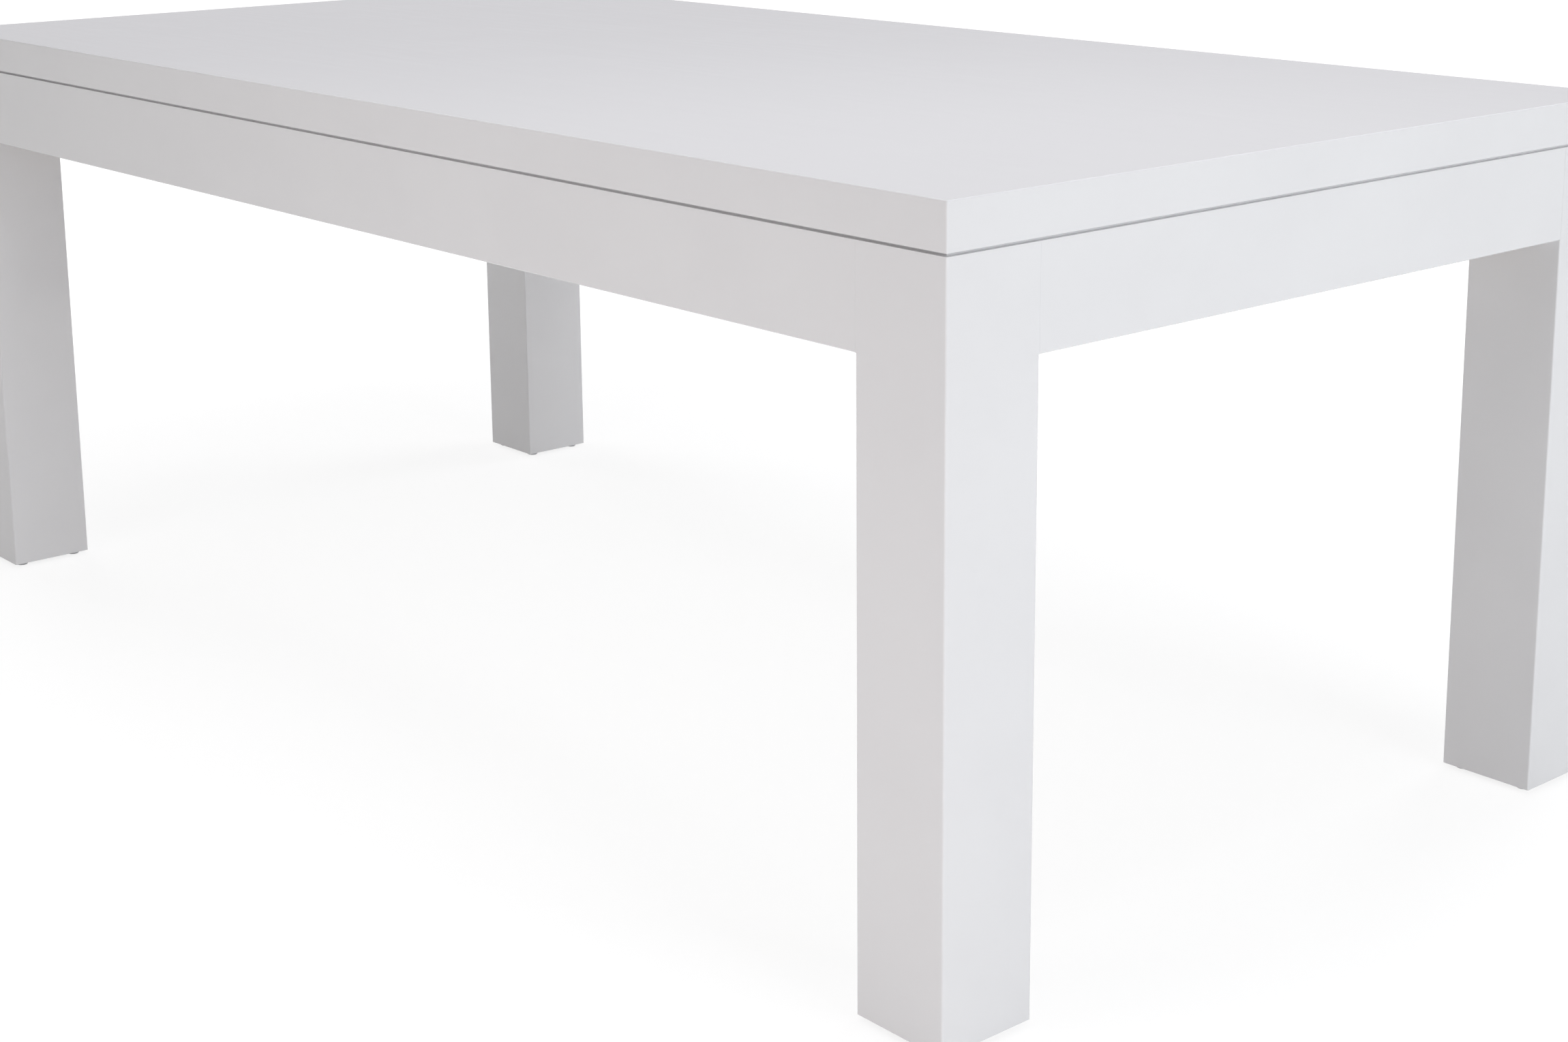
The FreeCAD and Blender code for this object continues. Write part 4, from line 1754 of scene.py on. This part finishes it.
@dataclass
class LegSet:
    """Four hollow legs, each with a block in its head, a plug in its foot, and nailed-on glides."""

    lacquer: GlossLacquer
    primer: PrimedBoard
    beech: Beech
    nylon: MouldedNylon
    zinc: ZincPlate
    arris: float = 1.8 * MM
    gap: ShadowGap = ShadowGap()
    bolt_flat: float = 22.0 * MM
    block_ease: float = 0.8 * MM

    def build(self) -> None:
        """Build the legs with what is in them and under them."""
        for corner in CORNERS:
            self.leg(corner)
            self.filler("leg_head_block", "beech", corner, self.beech)
            self.filler("leg_foot_plug", "primed", corner, self.primer)
        Glide("nylon_glides", "glides", self.nylon).build()
        RingNail("ring_nails", "glide_nails", self.zinc).build()

    def leg(self, corner: str) -> None:
        """Build one leg: rounded below the aprons, square where they butt, flat for the bolts.

        Args:
            corner: The corner of the table.
        """
        node = f"leg_{corner}"
        low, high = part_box(node)
        outer, inner = plan_corners(node, corner)
        neck = outer - Vector(CORNERS[corner]) * self.gap.depth
        apron_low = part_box("apron_front")[0].z
        shelf = high.z - self.gap.height
        shank = Outline.box(outer, inner, self.arris)
        head = Outline.box(outer, inner, self.arris, 0.0, 0.0, 0.0)
        stub = Outline.box(neck, inner)
        hollow = Outline.box(*plan_corners(f"leg_head_block_{corner}", corner))
        upper = ((head, apron_low), (head, shelf), (stub, shelf), (stub, high.z))
        rings = [shank.ring(low.z), shank.ring(apron_low)]
        rings += [self.flattened(outline.ring(height), corner) for outline, height in upper]
        rings += [hollow.ring(high.z), hollow.ring(low.z)]
        axis = ((outer + inner) / 2).to_3d()
        dress(
            as_object(f"lacquered_{node}", loft(rings, closed=True)),
            self.lacquer,
            node,
            lambda spot, way: way.dot(spot - axis) > 0 and low.z < spot.z < high.z,
        )

    def flattened(self, ring: list[Vector], corner: str) -> list[Vector]:
        """Cut the inner corner of a leg's ring back to the flat for the bolts.

        Args:
            ring: The ring, whose third corner is the inner one.
            corner: The corner of the table.

        Returns:
            The ring with as many points as before.
        """
        first = 2 * (EASE_STEPS + 1)
        after = first + EASE_STEPS + 1
        reach = self.bolt_flat / math.sqrt(2)
        sign_x, sign_y = CORNERS[corner]
        start = ring[first] + Vector((0, sign_y * reach, 0))
        end = ring[first] + Vector((sign_x * reach, 0, 0))
        flat = [start.lerp(end, step / EASE_STEPS) for step in range(EASE_STEPS + 1)]
        return ring[:first] + flat + ring[after:]

    def filler(self, kind: str, stuff: str, corner: str, finish: Finish) -> None:
        """Build the block or the plug inside one leg.

        Args:
            kind: The start of the node's name.
            stuff: What it is made of, for the piece's name.
            corner: The corner of the table.
            finish: What its surface is finished with.
        """
        node = f"{kind}_{corner}"
        solid = board(node, low=self.block_ease, high=self.block_ease)
        dress(as_object(f"{stuff}_{node}", solid), finish, node)


@dataclass
class CornerJoints:
    """A beech block across each inner corner, screwed to the aprons and bolted to the leg."""

    zinc: ZincPlate
    block_thickness: float = 30.0 * MM
    block_ease: float = 1.0 * MM
    pocket_radius: float = 5.5 * MM
    pocket_reach: float = 60.0 * MM
    bolt_hole: float = 4.4 * MM

    def build(self) -> None:
        """Build the blocks, the bolts with their washers and nuts, and the screws."""
        for corner in CORNERS:
            self.block(corner)
        HangerBolt("threaded_hanger_bolts", "hanger_bolts", self.zinc, seed=3).build()
        Washer("stamped_washers", "bolt_washers", self.zinc, seed=4).build()
        HexNut("hexagon_nuts", "bolt_nuts", self.zinc, seed=5).build()
        WoodScrew("block_screws", "corner_block_screws", self.zinc, seed=6).build()

    def block(self, corner: str) -> None:
        """Build one block, with its screw pockets and bolt holes.

        Args:
            corner: The corner of the table.
        """
        node = f"corner_block_{corner}"
        low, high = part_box(node)
        sign_x, sign_y = CORNERS[corner]
        face, end = plan_corners(node, corner)
        across = self.block_thickness * math.sqrt(2)
        spots = [
            (end.x + sign_x * across, face.y),
            (end.x, face.y),
            (face.x, end.y),
            (face.x, end.y + sign_y * across),
        ]
        outline = Outline(tuple(Corner(x, y, self.block_ease) for x, y in spots))
        solid = eased_prism(outline, low.z, high.z, self.block_ease, self.block_ease)
        piece = as_object(f"beech_{node}", solid)
        cut(piece, self.borings(low, high))
        dress(piece, Beech.along(Grain.FALLING if sign_x * sign_y > 0 else Grain.RISING), node)

    def borings(self, low: Vector, high: Vector) -> Solid:
        """Give the cutters of a block's screw pockets and bolt holes.

        Args:
            low: The low corner of the block's box.
            high: Its high corner.

        Returns:
            The round cutters.
        """
        holes = []
        for seat in turned_seats("corner_block_screws", Lie.LONG):
            floor = seat.place - seat.axis * WoodScrew.head_height
            middle = floor + seat.axis * self.pocket_reach / 2
            holes.append((seat, floor, middle, self.pocket_radius))
        for seat in turned_seats("hanger_bolts", Lie.LONG):
            middle = seat.place - seat.axis * self.block_thickness
            holes.append((seat, middle, middle, self.bolt_hole))
        tools = bmesh.new()
        for seat, inside, middle, radius in holes:
            if all(low[axis] < inside[axis] < high[axis] for axis in range(3)):
                bmesh.ops.create_cone(
                    tools,
                    cap_ends=True,
                    segments=CUTTER_SIDES,
                    radius1=radius,
                    radius2=radius,
                    depth=self.pocket_reach,
                    matrix=Matrix.Translation(middle) @ seat.turn.to_4x4(),
                )
        return tools


@dataclass
class Brackets:
    """Angle brackets that hold the top to the aprons and the rails in their housings."""

    zinc: ZincPlate

    def build(self) -> None:
        """Build the brackets and their screws."""
        AngleBracket("top_angle_brackets", "top_brackets", self.zinc).build()
        AngleBracket("rail_angle_brackets", "rail_brackets", self.zinc).build()
        WoodScrew("top_fixing_screws", "top_bracket_screws", self.zinc, seed=7).build()
        WoodScrew("rail_fixing_screws", "rail_bracket_screws", self.zinc, seed=8).build()


# Studio

@dataclass(frozen=True)
class Viewpoint:
    """The camera. Angles are in degrees: azimuth 0 looks along +Y, and pitch looks down."""

    place: Triple = (2.4335, -1.8995, 1.0943)
    azimuth: float = 49.46
    pitch: float = 12.47
    roll: float = -0.48
    lens: float = 57.85
    sensor: float = 36.0
    shift_y: float = -0.12

    def build(self) -> None:
        """Make the scene's camera."""
        data = bpy.data.cameras.new("camera")
        data.lens = self.lens
        data.sensor_width = self.sensor
        data.shift_y = self.shift_y
        camera = linked("camera", data)
        turns = (("Z", self.azimuth), ("X", 90.0 - self.pitch), ("Z", self.roll))
        turn = Matrix.Identity(4)
        for axis, angle in turns:
            turn = turn @ Matrix.Rotation(math.radians(angle), 4, axis)
        camera.matrix_world = Matrix.Translation(self.place) @ turn
        bpy.context.scene.camera = camera


@dataclass(frozen=True)
class Lamp:
    """A soft rectangular lamp, aimed at a point. Gloss shows it only where it is mirrored."""

    name: str
    place: Triple
    aim: Triple
    size: Span
    power: float
    colour: Colour = (1.0, 1.0, 1.0)
    mirrored: bool = False

    def build(self) -> None:
        """Hang the lamp."""
        data = bpy.data.lights.new(self.name, "AREA")
        data.shape = "RECTANGLE"
        data.size, data.size_y = self.size
        data.energy = self.power
        data.color = self.colour
        lamp = linked(self.name, data)
        lamp.visible_camera = False
        lamp.visible_glossy = self.mirrored
        lamp.location = self.place
        lamp.rotation_mode = "QUATERNION"
        lamp.rotation_quaternion = (Vector(self.aim) - lamp.location).to_track_quat("-Z", "Y")


@dataclass(frozen=True)
class Studio:
    """Plain pale floor, white surroundings and soft lamps."""

    lamps: tuple[Lamp, ...]
    fill: float = 0.08
    sweep: tuple[Span, ...] = (
        (0.0, 0.95),
        (0.05, 0.76),
        (0.10, 0.62),
        (0.15, 0.68),
        (0.25, 0.82),
        (0.45, 0.88),
        (1.0, 0.90),
    )
    sweep_tint: Colour = (1.01, 1.0, 1.035)
    floor_radius: float = 40.0
    floor_sides: int = 64
    floor_colour: Colour = (0.82, 0.82, 0.82)
    floor_glow: float = 1.18
    shadow_share: float = 0.30
    shadow_reach: Span = (1.4, 2.8)

    def build(self) -> None:
        """Set the view transform and build the floor, the surroundings and the lamps."""
        bpy.context.scene.view_settings.view_transform = "Standard"
        self.surroundings()
        self.floor()
        for lamp in self.lamps:
            lamp.build()

    @staticmethod
    def seen(graph: ShaderGraph) -> Signal:
        """Tell rays that show a surface from rays that only light one.

        Args:
            graph: The tree of the floor or of the world.

        Returns:
            1 for a ray that shows a surface, and 0 for any other.
        """
        path = "ShaderNodeLightPath"
        camera = graph.node(path, output="Is Camera Ray")
        mirrored = graph.node(path, output="Is Glossy Ray")
        through = graph.node(path, output="Is Transmission Ray")
        return camera.either(mirrored).either(through)

    def surroundings(self) -> None:
        """Make the world a pale sweep where it shows, and a soft fill where it lights."""
        world = bpy.data.worlds.new("surroundings")
        bpy.context.scene.world = world
        graph = ShaderGraph(world)
        way = graph.node("ShaderNodeTexCoord", output="Generated")
        height = graph.node("ShaderNodeSeparateXYZ", {"Vector": way}, output="Z")
        stops = [(place, Vector(self.sweep_tint) * tone) for place, tone in self.sweep]
        sweep = graph.node("ShaderNodeValToRGB", {"Fac": height}, stops=stops)
        colour = graph.blend(self.seen(graph), (self.fill,) * 3, sweep)
        shader = graph.node("ShaderNodeBackground", {"Color": colour})
        graph.end(shader, "ShaderNodeOutputWorld")

    def floor(self) -> None:
        """Lay the floor, white where it shows but for the table's soft shadow."""
        solid = bmesh.new()
        size = {"segments": self.floor_sides, "radius": self.floor_radius}
        bmesh.ops.create_circle(solid, cap_ends=True, **size)
        floor = as_object("studio_floor", solid)
        material = bpy.data.materials.new("studio_floor")
        graph = ShaderGraph(material)
        here = {0: graph.place()}
        distance = graph.node("ShaderNodeVectorMath", here, output="Value", operation="LENGTH")
        near = graph.ranged(distance, self.shadow_reach, (1.0, 0.0))
        pale = graph.node("ShaderNodeBsdfDiffuse", {"Color": (*self.floor_colour, 1.0)})
        white = {"Color": (1, 1, 1, 1), "Strength": self.floor_glow}
        glow = graph.node("ShaderNodeEmission", white)
        shown = graph.mixed(near * self.shadow_share, glow, pale)
        lit = graph.mixed(self.seen(graph), pale, shown)
        below = graph.node("ShaderNodeNewGeometry", output="Backfacing")
        camera = graph.node("ShaderNodeLightPath", output="Is Camera Ray")
        whole = graph.mixed(below * camera, lit, graph.node("ShaderNodeBsdfTransparent"))
        graph.end(whole, "ShaderNodeOutputMaterial")
        floor.data.materials.append(material)


COOL = (0.976, 1.0, 1.025)
CLEAR = (1.0, 1.0, 1.03)
WARM = (1.05, 1.0, 0.99)

LAMPS = (
    Lamp("right_softbox", (4.11, 0.0, 1.23), (0.0, 0.0, 0.5), (1.8, 1.8), 61.5, COOL),
    Lamp("back_softbox", (0.0, 3.72, 1.23), (0.0, 0.0, 0.5), (1.8, 1.8), 62.0, CLEAR),
    Lamp("left_softbox", (-4.11, 0.0, 1.23), (0.0, 0.0, 0.5), (1.8, 1.8), 50.0),
    Lamp("front_softbox", (0.3, -2.2, 0.95), (0.3, -0.5, 0.6), (0.9, 0.9), 6.4, WARM),
    Lamp("low_front_softbox", (0.9, -2.4, 0.25), (0.9, 0.0, 0.2), (1.6, 0.4), 2.6, WARM),
    Lamp("high_front_softbox", (0.0, -2.82, 3.08), (0.0, 0.0, 0.5), (2.4, 2.4), 12.0, WARM),
    Lamp("overhead_softbox", (0.0, 0.0, 3.4), (0.0, 0.0, 0.7), (3.4, 2.4), 36.0, CLEAR, True),
    Lamp("end_softbox", (0.9, 0.0, 2.2), (0.9, 0.0, 0.7), (1.2, 1.6), 10.5, CLEAR),
    Lamp("floor_reflector", (1.5, -1.5, 0.10), (0.95, -0.5, 0.25), (0.8, 0.8), 4.4, WARM),
)


def main() -> None:
    """Build the table and its studio in order."""
    logging.basicConfig(level=logging.INFO, format="%(name)s: %(message)s")
    lacquer = GlossLacquer()
    primer = PrimedBoard()
    zinc = ZincPlate()
    Viewpoint().build()
    TableTop(lacquer, primer).build()
    ApronFrame(lacquer, Beech.along(Grain.ALONG_Y)).build()
    LegSet(lacquer, primer, Beech.along(Grain.UPRIGHT), MouldedNylon(), zinc).build()
    CornerJoints(zinc).build()
    Brackets(zinc).build()
    Studio(LAMPS).build()


if __name__ == "__main__":
    main()
